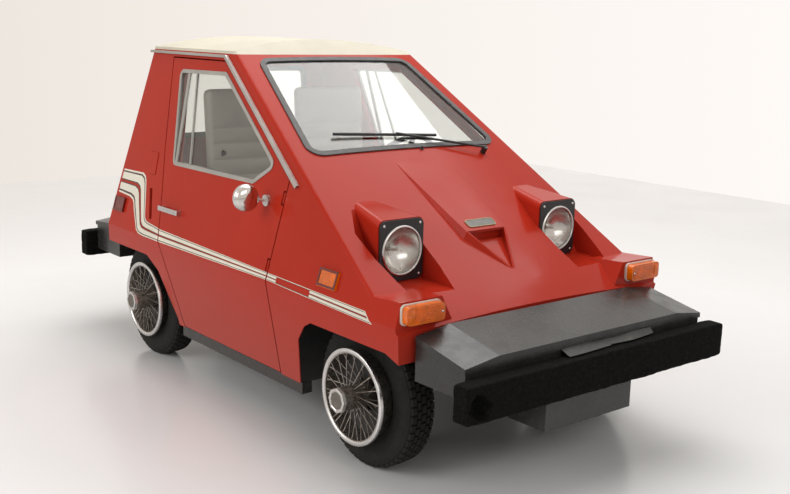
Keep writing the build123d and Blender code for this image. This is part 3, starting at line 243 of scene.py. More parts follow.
RED = (0.46, 0.027, 0.012)
# paler red for the lower panels: a painted reflection of the white floor
FLOOR_SHEEN_RED = (0.46, 0.085, 0.065)
CREAM = (0.66, 0.61, 0.49)
GRIME = (0.09, 0.08, 0.07)
LOOKS = {
    # below 0.6 m the red paint is mixed towards the paler red: a painted reflection of the white floor
    "red_body": dict(colour=RED, rough=0.17, vary=0.05, scale=1.6, coat=0.02, dust_and_sheen=(FLOOR_SHEEN_RED, 0.60, 0.9),
        wear=((0.30, 0.05, 0.04), 0.80, 40), bumps=((420, 0.00002), (7, 0.0012)), specular=0.10),
    "cream_roof": dict(colour=CREAM, rough=0.62, vary=0.05, wear=((0.55, 0.50, 0.40), 0.72, 7),
        bumps=((260, 0.0004),)),
    "black_boxes": dict(colour=(0.026, 0.025, 0.0235), rough=0.27, vary=0.2,
        dust_and_sheen=((0.05, 0.047, 0.043), 0.5, 0.4), wear=((0.07, 0.07, 0.068), 0.82, 30),
        bumps=((520, 0.00012), (6, 0.0012)), specular=0.45),
    "bumper_foam": dict(colour=(0.0045, 0.0045, 0.004), rough=0.95, vary=0.5, scale=60,
        wear=((0.016, 0.015, 0.012), 0.62, 120), bumps=((300, 0.003), (70, 0.004)), specular=0.1),
    "tyre_rubber": dict(colour=(0.012, 0.012, 0.011), rough=0.8, vary=0.25, scale=25,
        dust_and_sheen=((0.045, 0.041, 0.034), 0.30, 0.3), bumps=((600, 0.0002), (60, 0.0004)), specular=0.2),
    "bright_chrome": dict(colour=(0.62, 0.61, 0.60), rough=0.3, metal=1.0, vary=0.06,
        wear=((0.30, 0.26, 0.22), 0.70, 90), bumps=((300, 0.00005),)),
    "mirror_chrome": dict(colour=(0.66, 0.64, 0.61), rough=0.10, metal=1.0, vary=0.06, rough_vary=0.06,
        wear=((0.34, 0.30, 0.26), 0.72, 90), bumps=((30, 0.0002),)),
    "wire_chrome": dict(colour=(0.34, 0.31, 0.28), rough=0.38, metal=1.0, vary=0.25, scale=50,
        rough_vary=0.12, wear=((0.10, 0.07, 0.05), 0.58, 120), bumps=((400, 0.0001),)),
    "bare_aluminium": dict(colour=(0.42, 0.41, 0.39), rough=0.42, metal=1.0, bumps=((900, 0.00005),)),
    "seal_rubber": dict(colour=(0.070, 0.069, 0.067), rough=0.55, vary=0.15, scale=20,
        bumps=((500, 0.0001),)),
    "amber_lens": dict(colour=(0.80, 0.145, 0.0), rough=0.22, vary=0.2, scale=30, coat=0.25,
        bumps=((300, 0.00005),)),
    "red_lens": dict(colour=(0.16, 0.006, 0.004), rough=0.25, vary=0.12, scale=30, coat=0.1,
        bumps=((300, 0.00005),)),
    "white_plastic": dict(colour=(0.72, 0.69, 0.62), rough=0.35, vary=0.05, scale=30,
        bumps=((300, 0.0001),)),
    "black_plastic": dict(colour=(0.016, 0.016, 0.017), rough=0.45, vary=0.15, bumps=((500, 0.0002),)),
    "chassis_black": dict(colour=(0.022, 0.022, 0.023), rough=0.6, vary=0.3, scale=12,
        dust_and_sheen=(GRIME, 0.35, 0.5), bumps=((90, 0.0006),)),
    "seat_vinyl": dict(colour=(0.44, 0.41, 0.36), rough=0.5, vary=0.1, bumps=((450, 0.0003),)),
    "reflector": dict(colour=(0.60, 0.58, 0.55), rough=0.22, metal=1.0, vary=0.04, bumps=((60, 0.0004),)),
    "stripe_cream": dict(colour=(0.82, 0.77, 0.64), rough=0.4, vary=0.05,
        wear=((0.50, 0.22, 0.16), 0.76, 60), bumps=((300, 0.0001),)),
    "stripe_dark": dict(colour=(0.060, 0.022, 0.016), rough=0.45, vary=0.1, bumps=((300, 0.0001),)),
    "plate_grey": dict(colour=(0.15, 0.145, 0.13), rough=0.45, metal=0.1, vary=0.12, scale=40,
        wear=((0.10, 0.09, 0.06), 0.68, 60), bumps=((200, 0.0002),)),
    "strip_black": dict(colour=(0.030, 0.029, 0.026), rough=0.5, vary=0.25, scale=40,
        wear=((0.10, 0.085, 0.05), 0.66, 60), bumps=((200, 0.0002),)),
    "brass_edge": dict(colour=(0.28, 0.22, 0.12), rough=0.4, metal=0.8, vary=0.15, scale=60,
        bumps=((300, 0.0001),)),
    "trim_card": dict(colour=(0.42, 0.38, 0.31), rough=0.6, vary=0.06, bumps=((300, 0.0004),)),
    "lip_grey": dict(colour=(0.17, 0.15, 0.13), rough=0.5, metal=0.6, vary=0.15, scale=60,
        bumps=((300, 0.0001),)),
    "lip_dark": dict(colour=(0.14, 0.018, 0.014), rough=0.35, vary=0.15, scale=30, bumps=((300, 0.0001),)),
}
MATERIALS = {name: surface(name, **look) for name, look in LOOKS.items()}
MATERIALS["window_glass"] = glass("window_glass", (0.90, 0.92, 0.90), 0.01, 1.45)
MATERIALS["lamp_glass"] = glass("lamp_glass", (0.97, 0.97, 0.97), 0.04, 1.3, bumps=((160, 0.0003),))


def dress_nodes():
    for row in frame["record"]["subparts"]:
        finish = row["material_slot"]
        if row["node"].startswith("wheel_"):
            finish = "wire_chrome"
        if row["node"] == "door_hinges":
            finish = "red_body"
        mesh = nodes[row["node"]].data
        mesh.materials.clear()
        mesh.materials.append(MATERIALS[finish])


# -------- ways to make a piece
SHARP_ANGLE = math.radians(35)


def in_scene(name, mesh):
    thing = bpy.data.objects.new(name, mesh)
    bpy.context.scene.collection.objects.link(thing)
    return thing


def mesh_of(name, form):
    """The form as a mesh; the form is freed."""
    mesh = bpy.data.meshes.new(name)
    form.to_mesh(mesh)
    form.free()
    return mesh


def piece(name, form, material, slot=None, body=BODY, smooth=False):
    """The form as a piece on a body, in the material; the slot argument is not used."""
    bmesh.ops.recalc_face_normals(form, faces=form.faces)
    for face in form.faces:
        face.smooth = smooth
    mesh = mesh_of(name, form)
    mesh.materials.append(MATERIALS[material])
    thing = in_scene(name, mesh)
    if smooth:
        mesh.set_sharp_from_angle(angle=SHARP_ANGLE)
    slot = slot or material
    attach(thing, body)
    return thing


def stitched(form, rows, closed_rows=False):
    """Faces between rows of points, each of them a ring; closed_rows joins the last row to the first."""
    grid = [[form.verts.new(p) for p in row] for row in rows]
    count = len(grid)
    for i in range(count if closed_rows else count - 1):
        a, b = grid[i], grid[(i + 1) % count]
        for j in range(len(a)):
            k = (j + 1) % len(a)
            form.faces.new((a[j], a[k], b[k], b[j]))
    return grid


def capped(form, rows):
    """Rings stitched to each other, closed by a face at each end."""
    grid = stitched(form, rows)
    form.faces.new(grid[0])
    form.faces.new(grid[-1])


def turned(p, side, other, angle, radius):
    return p + (side * math.cos(angle) + other * math.sin(angle)) * radius


def tube(form, points, radius, sides=10):
    """A rod along points, closed by its two ends."""
    points = [Vector(p) for p in points]
    angles = [2 * math.pi * j / sides for j in range(sides)]
    rows = []
    side = None
    for i, p in enumerate(points):
        ahead = (points[min(i + 1, len(points) - 1)] - points[max(i - 1, 0)]).normalized()
        side = (ahead.orthogonal() if side is None else side - ahead * side.dot(ahead)).normalized()
        rows.append([turned(p, side, ahead.cross(side), angle, radius) for angle in angles])
    capped(form, rows)


def lathe(form, profile, centre, axis, steps=64):
    """A turned form round an axis; the profile is closed and gives (place along the axis, radius) in mm."""
    axis = Vector(axis).normalized()
    side = axis.orthogonal().normalized()
    other = axis.cross(side)
    angles = [2 * math.pi * i / steps for i in range(steps)]
    rows = [[turned(centre + axis * (a / 1000), side, other, angle, r / 1000) for a, r in profile]
            for angle in angles]
    stitched(form, rows, closed_rows=True)
    bmesh.ops.remove_doubles(form, verts=form.verts, dist=1e-6)


def box_corners(form, low, high):
    """The corners of a new box in the form, from low to high in metres."""
    corners = bmesh.ops.create_cube(form, size=1)["verts"]
    for v in corners:
        v.co = Vector([low[i] + (v.co[i] + 0.5) * (high[i] - low[i]) for i in range(3)])
    return corners


def slab(form, one, other, corner, steps=3):
    """A box with rounded edges between two opposite corners, in metres."""
    low, high = Vector(list(map(min, one, other))), Vector(list(map(max, one, other)))
    edges = list({edge for v in box_corners(form, low, high) for edge in v.link_edges})
    bmesh.ops.bevel(form, geom=edges, offset=corner, segments=steps, profile=0.5, affect="EDGES")


def thick_patch(form, points, depth):
    """A flat plate: the outline points, and the same outline pushed in by depth along -normal."""
    points = [Vector(p) for p in points]
    normal = Vector((0, 0, 0))
    for i, p in enumerate(points):
        normal += p.cross(points[(i + 1) % len(points)])
    normal.normalize()
    top = [form.verts.new(p) for p in points]
    under = [form.verts.new(p - normal * depth) for p in points]
    form.faces.new(top)
    form.faces.new(list(reversed(under)))
    for i in range(len(points)):
        j = (i + 1) % len(points)
        form.faces.new((top[j], top[i], under[i], under[j]))


def cut(outline, measure):
    """The part of a flat outline where measure(y, z) is above 0."""
    kept = []
    for i, a in enumerate(outline):
        b = outline[(i + 1) % len(outline)]
        fa, fb = measure(*a), measure(*b)
        if fa >= 0:
            kept.append(a)
        if (fa > 0 > fb) or (fa < 0 < fb):
            t = fa / (fa - fb)
            kept.append((a[0] + t * (b[0] - a[0]), a[1] + t * (b[1] - a[1])))
    return kept


def beside_crease(outline, side):
    """The part of an outline above (+1) or below (-1) the body's crease."""
    return cut(outline, lambda y, z: side * (z - CREASE_Z))


# -------- stripes
# y and z of the band's upper and lower edges, from the nose to the tail
STRIPE_UPPER = [(-877, 588), (-276, 599), (602, 618), (735, 631), (757, 637), (770, 650), (778, 672),
                (812, 775), (822, 803), (836, 823), (862, 834), (1060, 830)]
STRIPE_LOWER = [(-920, 552), (-278, 572), (603, 565), (765, 566), (808, 570), (832, 582), (846, 602),
                (893, 668), (905, 692), (922, 706), (955, 715), (1075, 722)]
# two shares of the band's width from its upper edge, material, and whether it stops at the bare patch
STRIPE_BANDS = [(0.00, 0.07, "stripe_cream", False), (0.07, 0.13, "stripe_dark", False),
                (0.13, 0.41, "stripe_cream", True), (0.41, 0.46, "stripe_dark", True),
                (0.54, 0.58, "stripe_dark", True), (0.58, 0.86, "stripe_cream", True),
                (0.86, 0.93, "stripe_dark", False), (0.93, 1.00, "stripe_cream", False)]
STRIPE_SLOTS = {"stripe_cream": "white_plastic", "stripe_dark": "black_plastic"}
STRIPE_END = 6
BARE_PATCH = (-560, -340)
DOOR_FRONT_EDGE = ((-276, 565), (-303, 948))
DOOR_REAR_EDGE = ((612, 565), (661, 780))
DOOR_GAP = 6
STRIPE_TRIM = 1
TAPE_THICKNESS, TAPE_PROUD = 0.5, 0.35
CREASE_NUDGE = 0.01  # keeps a point at the crease on its own side of it


def past(edge, shift, sign):
    """How far a point lies behind (+1) or ahead (-1) of a door edge moved by shift along Y."""
    (y0, z0), (y1, z1) = edge
    slope = (y1 - y0) / (z1 - z0)
    return lambda y, z: sign * (y - (y0 + (z - z0) * slope + shift))


def across_band(i, share):
    """A point on the band at its corner i, by a share of its width from its upper edge."""
    (ya, za), (yb, zb) = STRIPE_UPPER[i], STRIPE_LOWER[i]
    return ya + (yb - ya) * share, za + (zb - za) * share


def stripe_outlines():
    """(outline, material) for the whole band, before it is parted at the doors."""
    found = []
    for i in range(len(STRIPE_UPPER) - 1):
        for low, high, material, stops in STRIPE_BANDS:
            quad = [across_band(*corner) for corner in ((i, low), (i + 1, low), (i + 1, high), (i, high))]
            if stops and i == 0:
                found.append((cut(quad, lambda y, z: BARE_PATCH[0] - y), material))
                found.append((cut(quad, lambda y, z: y - BARE_PATCH[1]), material))
            else:
                found.append((quad, material))
    (ya, za), (yb, zb) = STRIPE_UPPER[0], STRIPE_LOWER[0]
    found.append(([(ya, za), (ya - STRIPE_END, za), (yb - STRIPE_END, zb), (yb, zb)], "stripe_cream"))
    return found


def stripe_zones(side):
    """Each stretch of the band on one side of the car: its body, and the tests that part it there."""
    return [(BODY, [past(DOOR_FRONT_EDGE, -STRIPE_TRIM, -1)]),
            (f"door_{side}", [past(DOOR_FRONT_EDGE, DOOR_GAP + STRIPE_TRIM, 1),
                              past(DOOR_REAR_EDGE, -DOOR_GAP - STRIPE_TRIM, -1)]),
            (BODY, [past(DOOR_REAR_EDGE, STRIPE_TRIM, 1)])]


def stripe_shapes(tests):
    """(outline, material, side of the crease) for what the tests leave of the band."""
    for outline, material in stripe_outlines():
        for test in tests:
            outline = cut(outline, test)
        for crease_side in (1, -1):
            shape = beside_crease(outline, crease_side)
            if len(shape) >= 3:
                yield shape, material, crease_side


def stripes():
    forms = {}
    for hand, side in HANDS:
        for body, tests in stripe_zones(side):
            for shape, material, crease_side in stripe_shapes(tests):
                form = forms.setdefault((body, material), bmesh.new())
                points = []
                for y, z in shape:
                    nudge = CREASE_NUDGE * crease_side if abs(z - CREASE_Z) < CREASE_NUDGE / 2 else 0
                    points.append(on_side(hand, y, z + nudge, TAPE_PROUD))
                form.faces.new([form.verts.new(p) for p in points])
    for (body, material), form in forms.items():
        bmesh.ops.remove_doubles(form, verts=form.verts, dist=2e-5)
        tape = piece(f"{material}_{body}", form, material, STRIPE_SLOTS[material], body)
        thick = tape.modifiers.new("thickness", "SOLIDIFY")
        thick.thickness = TAPE_THICKNESS / 1000
        thick.offset = 0


# -------- tyres
TYRE_R = 262
PITCHES = 52
TREAD_DEPTH = 8
TREAD_HALF = 46
TREAD_ROWS = [(-46, -30), (-26, -13), (-9, 9), (13, 26), (30, 46)]
CROWN_DROP = 4
GROOVE_DRAFT = 0.4
BLOCK_SLANT = 0.10  # share of a pitch that the blocks lean by at the tread's edge
BLOCK_STEPS = [0.0, 0.025, 0.21, 0.235, 0.5, 0.525, 0.71, 0.735]
GAP_FROM, GAP_TO = 0.01, 0.22  # shares of a pitch between which a row of blocks is open
# (place across the tyre, radius) from the tread's edge to the bead
WALL_PROFILE = [(-46, 250), (-51, 246), (-54, 240), (-57.5, 232), (-58.8, 224), (-59, 206), (-58.2, 203),
                (-58.8, 200), (-57, 178), (-55, 170), (-53.5, 168), (-51, 160), (-48, 153)]


def tread_columns():
    """(place across, how far ahead its blocks start, or None in a groove) over the tread."""
    columns = []
    for i, (a, b) in enumerate(TREAD_ROWS):
        ahead = (i % 2) * 0.5
        columns += [(a - GROOVE_DRAFT, None), (a, ahead), (b, ahead), (b + GROOVE_DRAFT, None)]
    return columns


def tyre_form(hand):
    form = bmesh.new()
    pitch_angle = 2 * math.pi / PITCHES
    rows = []
    for pitch in range(PITCHES):
        for share in BLOCK_STEPS:
            # (place across, radius, share of a pitch ahead), from one bead to the other
            ring = [(dx, r, 0) for dx, r in reversed(WALL_PROFILE)]
            for dx, ahead in tread_columns():
                crown = TYRE_R - CROWN_DROP * (dx / TREAD_HALF) ** 2
                low = ahead is None or GAP_FROM < (share - ahead) % 1 < GAP_TO
                ring.append((dx, crown - TREAD_DEPTH if low else crown, BLOCK_SLANT * dx / TREAD_HALF))
            ring += [(-dx, r, 0) for dx, r in WALL_PROFILE]
            turns = [pitch_angle * (pitch + share + slant) for _, _, slant in ring]
            rows.append([Vector((dx * hand, r * math.cos(turn), r * math.sin(turn))) / 1000
                         for (dx, r, _), turn in zip(ring, turns)])
    stitched(form, rows, closed_rows=True)
    return form


def tyres():
    for name, (x, y) in WHEELS.items():
        form = tyre_form(1 if x > 0 else -1)
        bmesh.ops.translate(form, verts=form.verts, vec=at(x, y, AXLE_Z))
        tyre = piece(f"road_tyre_{name}", form, "tyre_rubber", body=f"wheel_{name}")
        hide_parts(f"tyre_{name}")


# -------- wheel covers
COVER_X = {"front": 640, "rear": 637}
# (place outwards, radius) of the turned forms; the first two stand at COVER_X
COVER_RING = [(0, 171), (3, 170), (5, 166), (5, 160), (3, 156), (-2, 153), (-8, 153), (-8, 171)]
RIM_WELL = [(-66, 150), (-60, 146), (-74, 60), (-78, 60), (-78, 150)]
HUB_OCTAGON = [(-10, 46), (-1, 45.4), (2.5, 43), (3, 36), (1.5, 33), (-10, 33)]
HUB_DISC = [(-2, 0.2), (-2, 30), (1.0, 29), (1.6, 27), (0.8, 25), (0.8, 0.2)]


def wheel_dress():
    """A rolled bright ring, the dark well behind the wires and the hub's octagon cap on each wheel."""
    for name, (x, y) in WHEELS.items():
        hand = 1 if x > 0 else -1
        low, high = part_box(f"wheel_{name}")
        face = at((high.x if hand > 0 else low.x) * 1000, y, AXLE_Z)
        cover = at(hand * COVER_X[name.split("_")[0]], y, AXLE_Z)
        for what, profile, centre, steps, material, slot in (
                ("cover_ring", COVER_RING, cover, 96, "bright_chrome", "bright_chrome"),
                ("wheel_well", RIM_WELL, cover, 48, "chassis_black", "chassis_black"),
                ("hub_octagon", HUB_OCTAGON, face, 8, "bright_chrome", "bright_chrome"),
                ("hub_disc", HUB_DISC, face, 40, "lip_grey", "bright_chrome")):
            form = bmesh.new()
            lathe(form, profile, centre, (hand, 0, 0), steps)
            piece(f"{what}_{name}", form, material, slot, f"wheel_{name}", smooth=what != "hub_octagon")


# -------- headlamps
FORWARD = Vector((0, -1, 0))
LAMP_X, LAMP_FACE_Y, LAMP_Z = 398, -752, 742
BEZEL_TOP_Z, BEZEL_BOTTOM_Z, BEZEL_HALF = 852, 633, 98
BEZEL_SCREW_INSET = 17
# (place forwards of the lamp's face, radius)
LAMP_RIM = [(7.2, 90), (11, 90), (13.5, 88), (14.5, 85), (13.5, 82.5), (10, 81), (7.2, 81)]
LAMP_BOWL = [(8, 81), (-2, 76), (-18, 66), (-32, 50), (-42, 30), (-46, 8), (-52, 8), (-50, 34), (-38, 56),
             (-20, 73), (-4, 83), (8, 84)]
LAMP_BULB = [(-46, 0.2), (-46, 12), (-34, 12), (-30, 9), (-20, 8), (-16, 5), (-15, 0.2)]
BEZEL_SCREW = [(6, ON_AXIS), (6, 5.5), (8.4, 5.2), (10.2, 3.4), (10.6, ON_AXIS)]
LENS_RADIUS, LENS_RISE, LENS_EDGE, LENS_THICK = 82, 7, 9, 4
LENS_RINGS, LENS_STEPS = 22, 72
FLUTE_PITCH, FLUTE_DEPTH = 7.0, 0.9
STEP_PITCH, STEP_DEPTH = 26, 0.5


def add_lens(form, centre):
    """A round domed glass with upright flutes and shallow level steps."""
    fronts, backs = [], []
    for i in range(LENS_RINGS + 1):
        r = LENS_RADIUS * i / LENS_RINGS
        dome = LENS_EDGE + LENS_RISE * (1 - (r / LENS_RADIUS) ** 2)
        fade = min(1.0, 3 * (1 - r / LENS_RADIUS))
        front, back = [], []
        for j in range(LENS_STEPS):
            angle = 2 * math.pi * j / LENS_STEPS
            x, z = r * math.cos(angle), r * math.sin(angle)
            ripple = fade * (FLUTE_DEPTH * math.cos(2 * math.pi * x / FLUTE_PITCH)
                             + STEP_DEPTH * math.cos(2 * math.pi * z / STEP_PITCH))
            front.append(centre + Vector((x, -(dome + ripple), z)) / 1000)
            back.append(centre + Vector((x, -(dome - LENS_THICK), z)) / 1000)
        fronts.append(front)
        backs.append(back)
    stitched(form, [*fronts, *reversed(backs)])


def headlamps():
    lenses, rims, bowls, bulbs, screws = (bmesh.new() for _ in range(5))
    for hand, _ in HANDS:
        centre = at(hand * LAMP_X, LAMP_FACE_Y, LAMP_Z)
        add_lens(lenses, centre)
        lathe(rims, LAMP_RIM, centre, FORWARD, 96)
        lathe(bowls, LAMP_BOWL, centre, FORWARD, 72)
        lathe(bulbs, LAMP_BULB, centre, FORWARD, 24)
        for across in (-1, 1):
            for z in (BEZEL_TOP_Z - BEZEL_SCREW_INSET, BEZEL_BOTTOM_Z + BEZEL_SCREW_INSET):
                x = hand * LAMP_X + across * (BEZEL_HALF - BEZEL_SCREW_INSET)
                lathe(screws, BEZEL_SCREW, at(x, LAMP_FACE_Y, z), FORWARD, 20)
    bmesh.ops.remove_doubles(lenses, verts=lenses.verts, dist=1e-7)
    glass_piece = piece("headlamp_lenses", lenses, "lamp_glass", smooth=True)
    piece("headlamp_rims", rims, "bright_chrome", smooth=True)
    piece("headlamp_bowls", bowls, "reflector", "bright_chrome", smooth=True)
    piece("headlamp_bulbs", bulbs, "reflector", "bright_chrome", smooth=True)
    piece("headlamp_screws", screws, "bright_chrome", smooth=True)
    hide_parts("headlamps")


# -------- direction lamps
TURN_X0, TURN_X1, TURN_Z0, TURN_Z1, TURN_FACE_Y = 474, 634, 578, 640, -1084
TURN_RIBS, TURN_RIB_PITCH, TURN_RIB_RADIUS = 9, 5.8, 1.9
TURN_RIB_START, TURN_RIB_END, TURN_RIB_PROUD = 8, 34, 0.2
TURN_RIB_INSET, TURN_LAST_RIB_INSET = 9, 15
# the plain raised pad at the outer end
TURN_PAD_FROM, TURN_PAD_TO, TURN_PAD_EDGE, TURN_PAD_CORNER = 29, 8, 12, 2
TURN_PAD_PROUD, TURN_PAD_BACK = 3, 4
TURN_SCREW_INSET = 12
TURN_SCREW = [(-1, ON_AXIS), (-1, 4.5), (1.6, 4.2), (2.8, 2.5), (3.0, ON_AXIS)]


def turn_lamps():
    """Level ribs, a plain pad and two screws on each amber lamp."""
    ribs, screws = bmesh.new(), bmesh.new()
    for hand, _ in HANDS:
        for i in range(TURN_RIBS):
            inset = TURN_RIB_INSET if 0 < i < TURN_RIBS - 1 else TURN_LAST_RIB_INSET
            y, z = TURN_FACE_Y - TURN_RIB_PROUD, TURN_Z0 + TURN_RIB_START + i * TURN_RIB_PITCH
            ends = [at(hand * x, y, z) for x in (TURN_X0 + inset, TURN_X1 - TURN_RIB_END)]
            tube(ribs, ends, TURN_RIB_RADIUS / 1000, 8)
        one = at(hand * (TURN_X1 - TURN_PAD_FROM), TURN_FACE_Y - TURN_PAD_PROUD, TURN_Z0 + TURN_PAD_EDGE)
        other = at(hand * (TURN_X1 - TURN_PAD_TO), TURN_FACE_Y + TURN_PAD_BACK, TURN_Z1 - TURN_PAD_EDGE)
        slab(ribs, one, other, TURN_PAD_CORNER / 1000)
        for x in (TURN_X0 + TURN_SCREW_INSET, TURN_X1 - TURN_SCREW_INSET):
            lathe(screws, TURN_SCREW, at(hand * x, TURN_FACE_Y, (TURN_Z0 + TURN_Z1) / 2), FORWARD, 16)
    piece("turn_lamp_ribs", ribs, "amber_lens", smooth=True)
    piece("turn_lamp_screws", screws, "bright_chrome", smooth=True)


# -------- side markers
# y range, z range and material of each marker's lens
MARKERS = [((-708, -601), (619, 682), "amber_lens"), ((986, 1084), (638, 702), "red_lens")]
MARKER_RIM, MARKER_LEAN = 8, 6
MARKER_BACK, MARKER_FRONT = 3, 11
MARKER_RIBS, MARKER_RIB_PROUD, MARKER_RIB_RADIUS = 6, 8.8, 1.2
MARKER_RIB_LEAN, MARKER_RIB_SHORT = 3, 1


def marker_frames():
    """A raised frame round each side marker, and the ribs of its lens."""
    frames, ribs = bmesh.new(), {"amber_lens": bmesh.new(), "red_lens": bmesh.new()}
    for (y0, y1), (z0, z1), colour in MARKERS:
        rim, lean = MARKER_RIM, MARKER_LEAN
        outer = [(y0, z0), (y1, z0), (y1 - lean, z1), (y0 - lean, z1)]
        inner = [(y0 + rim, z0 + rim), (y1 - rim, z0 + rim), (y1 - rim - lean, z1 - rim),
                 (y0 + rim - lean, z1 - rim)]
        for hand, _ in HANDS:
            section = ((outer, MARKER_BACK), (outer, MARKER_FRONT),
                       (inner, MARKER_FRONT), (inner, MARKER_BACK))
            rings = [[on_side(hand, y, z, proud) for y, z in outline] for outline, proud in section]
            stitched(frames, rings, closed_rows=True)
            for i in range(1, MARKER_RIBS + 1):
                share = i / (MARKER_RIBS + 1)
                z = z0 + rim + (z1 - z0 - 2 * rim) * share
                back = MARKER_RIB_LEAN * share
                ends = [on_side(hand, y - back, z, MARKER_RIB_PROUD)
                        for y in (y0 + rim + MARKER_RIB_SHORT, y1 - rim - MARKER_RIB_LEAN)]
                tube(ribs[colour], ends, MARKER_RIB_RADIUS / 1000, 6)
    piece("marker_frames", frames, "lip_dark", "red_lens")
    for colour, form in ribs.items():
        piece(f"marker_ribs_{colour}", form, colour, smooth=True)


# -------- mirrors
MIRROR_BASE_Z, MIRROR_HEAD_X, MIRROR_Y, MIRROR_Z = 854, 88, -166, 869
# (place forwards of the head's middle, radius)
MIRROR_SHELL = [(12.6, ON_AXIS), (12.6, 46), (14, 49), (17, 49.5), (22, 46.5), (27, 40), (31, 30),
                (33.5, 17), (34.2, ON_AXIS)]


def mirror_shells():
    """The domed chrome back of each door mirror."""
    for hand, side in HANDS:
        form = bmesh.new()
        centre = at(hand * (side_half(MIRROR_BASE_Z) + MIRROR_HEAD_X), MIRROR_Y, MIRROR_Z)
        lathe(form, MIRROR_SHELL, centre, FORWARD, 64)
        piece(f"mirror_shell_{side}", form, "mirror_chrome", "bright_chrome", f"door_{side}", smooth=True)


# -------- small pieces on the body
RAY_START = 1.6
SCOOP_PLATE_Y, SCOOP_PLATE_HALF = (-752, -715), 70
SCOOP_PLATE_LIFT = 2.5
SCOOP_PLATE_RIM, SCOOP_PLATE_THICK = 3, 2
SCOOP_PLATE_ROUND = 0.6  # its corners' radius, as a share of half its height
SCOOP_FRAME = (-0.0025, 0.001)  # its foot and its top, in metres from the plate's face
CORNER_STEPS, CORNER_TURN = 6, 18
NOZZLE_AT = (50, -324)
NOZZLE = [(-1, ON_AXIS), (-1, 9), (3, 8.6), (5, 5), (12, 4.6), (13, 3.4), (13, ON_AXIS)]
NOZZLE_JET_RADIUS = 2.2
SLOT_OUTLINE = [(773, 773), (754, 774), (709, 650), (728, 649)]
SLOT_SHADE_DEPTH, SLOT_SHADE_THICK = 17, 1


def surface_point(node, x, y, above=0.0):
    """Where a line down through x, y meets a CAD node, and the normal there, in metres."""
    spot = at(x, y, 0)
    hit, place, normal, _ = nodes[node].ray_cast(Vector((spot.x, spot.y, RAY_START)), Vector((0, 0, -1)))
    if not hit:
        raise RuntimeError(f"nothing of {node} at {x}, {y}")
    return place + normal * above, normal


def plate_outline(corners, shrink, lift):
    """The scoop plate's outline with its corners rounded, moved in by shrink and up by lift, in metres."""
    middle = (corners[0] + corners[2]) / 2
    along = (corners[1] - corners[0]).normalized()
    back = corners[3] - corners[0]
    height = back.length / 2 - shrink
    back.normalize()
    half = SCOOP_PLATE_HALF / 1000 - shrink
    r = height * SCOOP_PLATE_ROUND
    points = []
    x, y = half - r, height - r
    for cx, cy, start in ((x, -y, -90), (x, y, 0), (-x, y, 90), (-x, -y, 180)):
        for k in range(CORNER_STEPS):
            a = math.radians(start + CORNER_TURN * k)
            points.append(middle + along * (cx + r * math.cos(a)) + back * (cy + r * math.sin(a))
                          + along.cross(back) * lift)
    return points


def scoop_plate():
    """The blank plate above the scoop's lip, in its brass frame."""
    half, (front, back) = SCOOP_PLATE_HALF, SCOOP_PLATE_Y
    corners = [surface_point("nose_panel", x, y, SCOOP_PLATE_LIFT / 1000)[0]
               for x, y in ((-half, front), (half, front), (half, back), (-half, back))]
    rim = SCOOP_PLATE_RIM / 1000
    plate, edge = bmesh.new(), bmesh.new()
    thick_patch(plate, plate_outline(corners, rim, 0.0), SCOOP_PLATE_THICK / 1000)
    piece("scoop_plate", plate, "plate_grey", "bare_aluminium")
    foot, top = SCOOP_FRAME
    section = ((0, foot), (0, top), (rim, top), (rim, foot))
    stitched(edge, [plate_outline(corners, shrink, lift) for shrink, lift in section], closed_rows=True)
    piece("scoop_plate_edge", edge, "brass_edge", "bare_aluminium")


def washer_nozzle():
    form = bmesh.new()
    place, normal = surface_point("nose_panel", *NOZZLE_AT)
    lathe(form, NOZZLE, place, normal, 20)
    tube(form, [place + normal * 0.010, place + normal * 0.011 + Vector((0, 0.006, 0.001))],
         NOZZLE_JET_RADIUS / 1000, 8)
    piece("washer_nozzle", form, "black_plastic", smooth=True)


def slot_shades():
    """A black sheet at the floor of the upright slot in each quarter panel: painted shade."""
    form = bmesh.new()
    for hand, _ in HANDS:
        outline = [on_side(hand, y, z, -SLOT_SHADE_DEPTH) for y, z in SLOT_OUTLINE]
        thick_patch(form, outline, SLOT_SHADE_THICK / 1000)
    piece("slot_shades", form, "black_plastic")


# -------- door windows
DIVIDER_TOP, DIVIDER_FOOT, DIVIDER_HALF = (547, 1300), (458, 917), 6
DIVIDER_DEPTHS = (-7.5, 1.8)
DIVIDER_CORNER = 1.2
LATCH_AT, LATCH_DEPTH = (218, 990), -7
LATCH = [(-1, ON_AXIS), (-1, 13), (3, 13), (6, 11), (9, 8), (14, 7.5), (15, 5), (15, ON_AXIS)]


def window_dividers():
    """The upright channel of each sliding door window and its latch."""
    (y0, z0), (y1, z1) = DIVIDER_TOP, DIVIDER_FOOT
    half = DIVIDER_HALF
    outline = [(y0 - half, z0), (y0 + half, z0), (y1 + half, z1), (y1 - half, z1)]
    for hand, side in HANDS:
        form = bmesh.new()
        capped(form, [[on_side(hand, y, z, proud) for y, z in outline] for proud in DIVIDER_DEPTHS])
        corner = DIVIDER_CORNER / 1000
        bmesh.ops.bevel(form, geom=list(form.edges), offset=corner, segments=2, affect="EDGES")
        piece(f"window_divider_{side}", form, "bare_aluminium", body=f"door_{side}")
        latch = bmesh.new()
        lathe(latch, LATCH, on_side(hand, *LATCH_AT, LATCH_DEPTH), (-hand, 0, 0), 28)
        piece(f"window_latch_{side}", latch, "black_plastic", body=f"door_{side}", smooth=True)


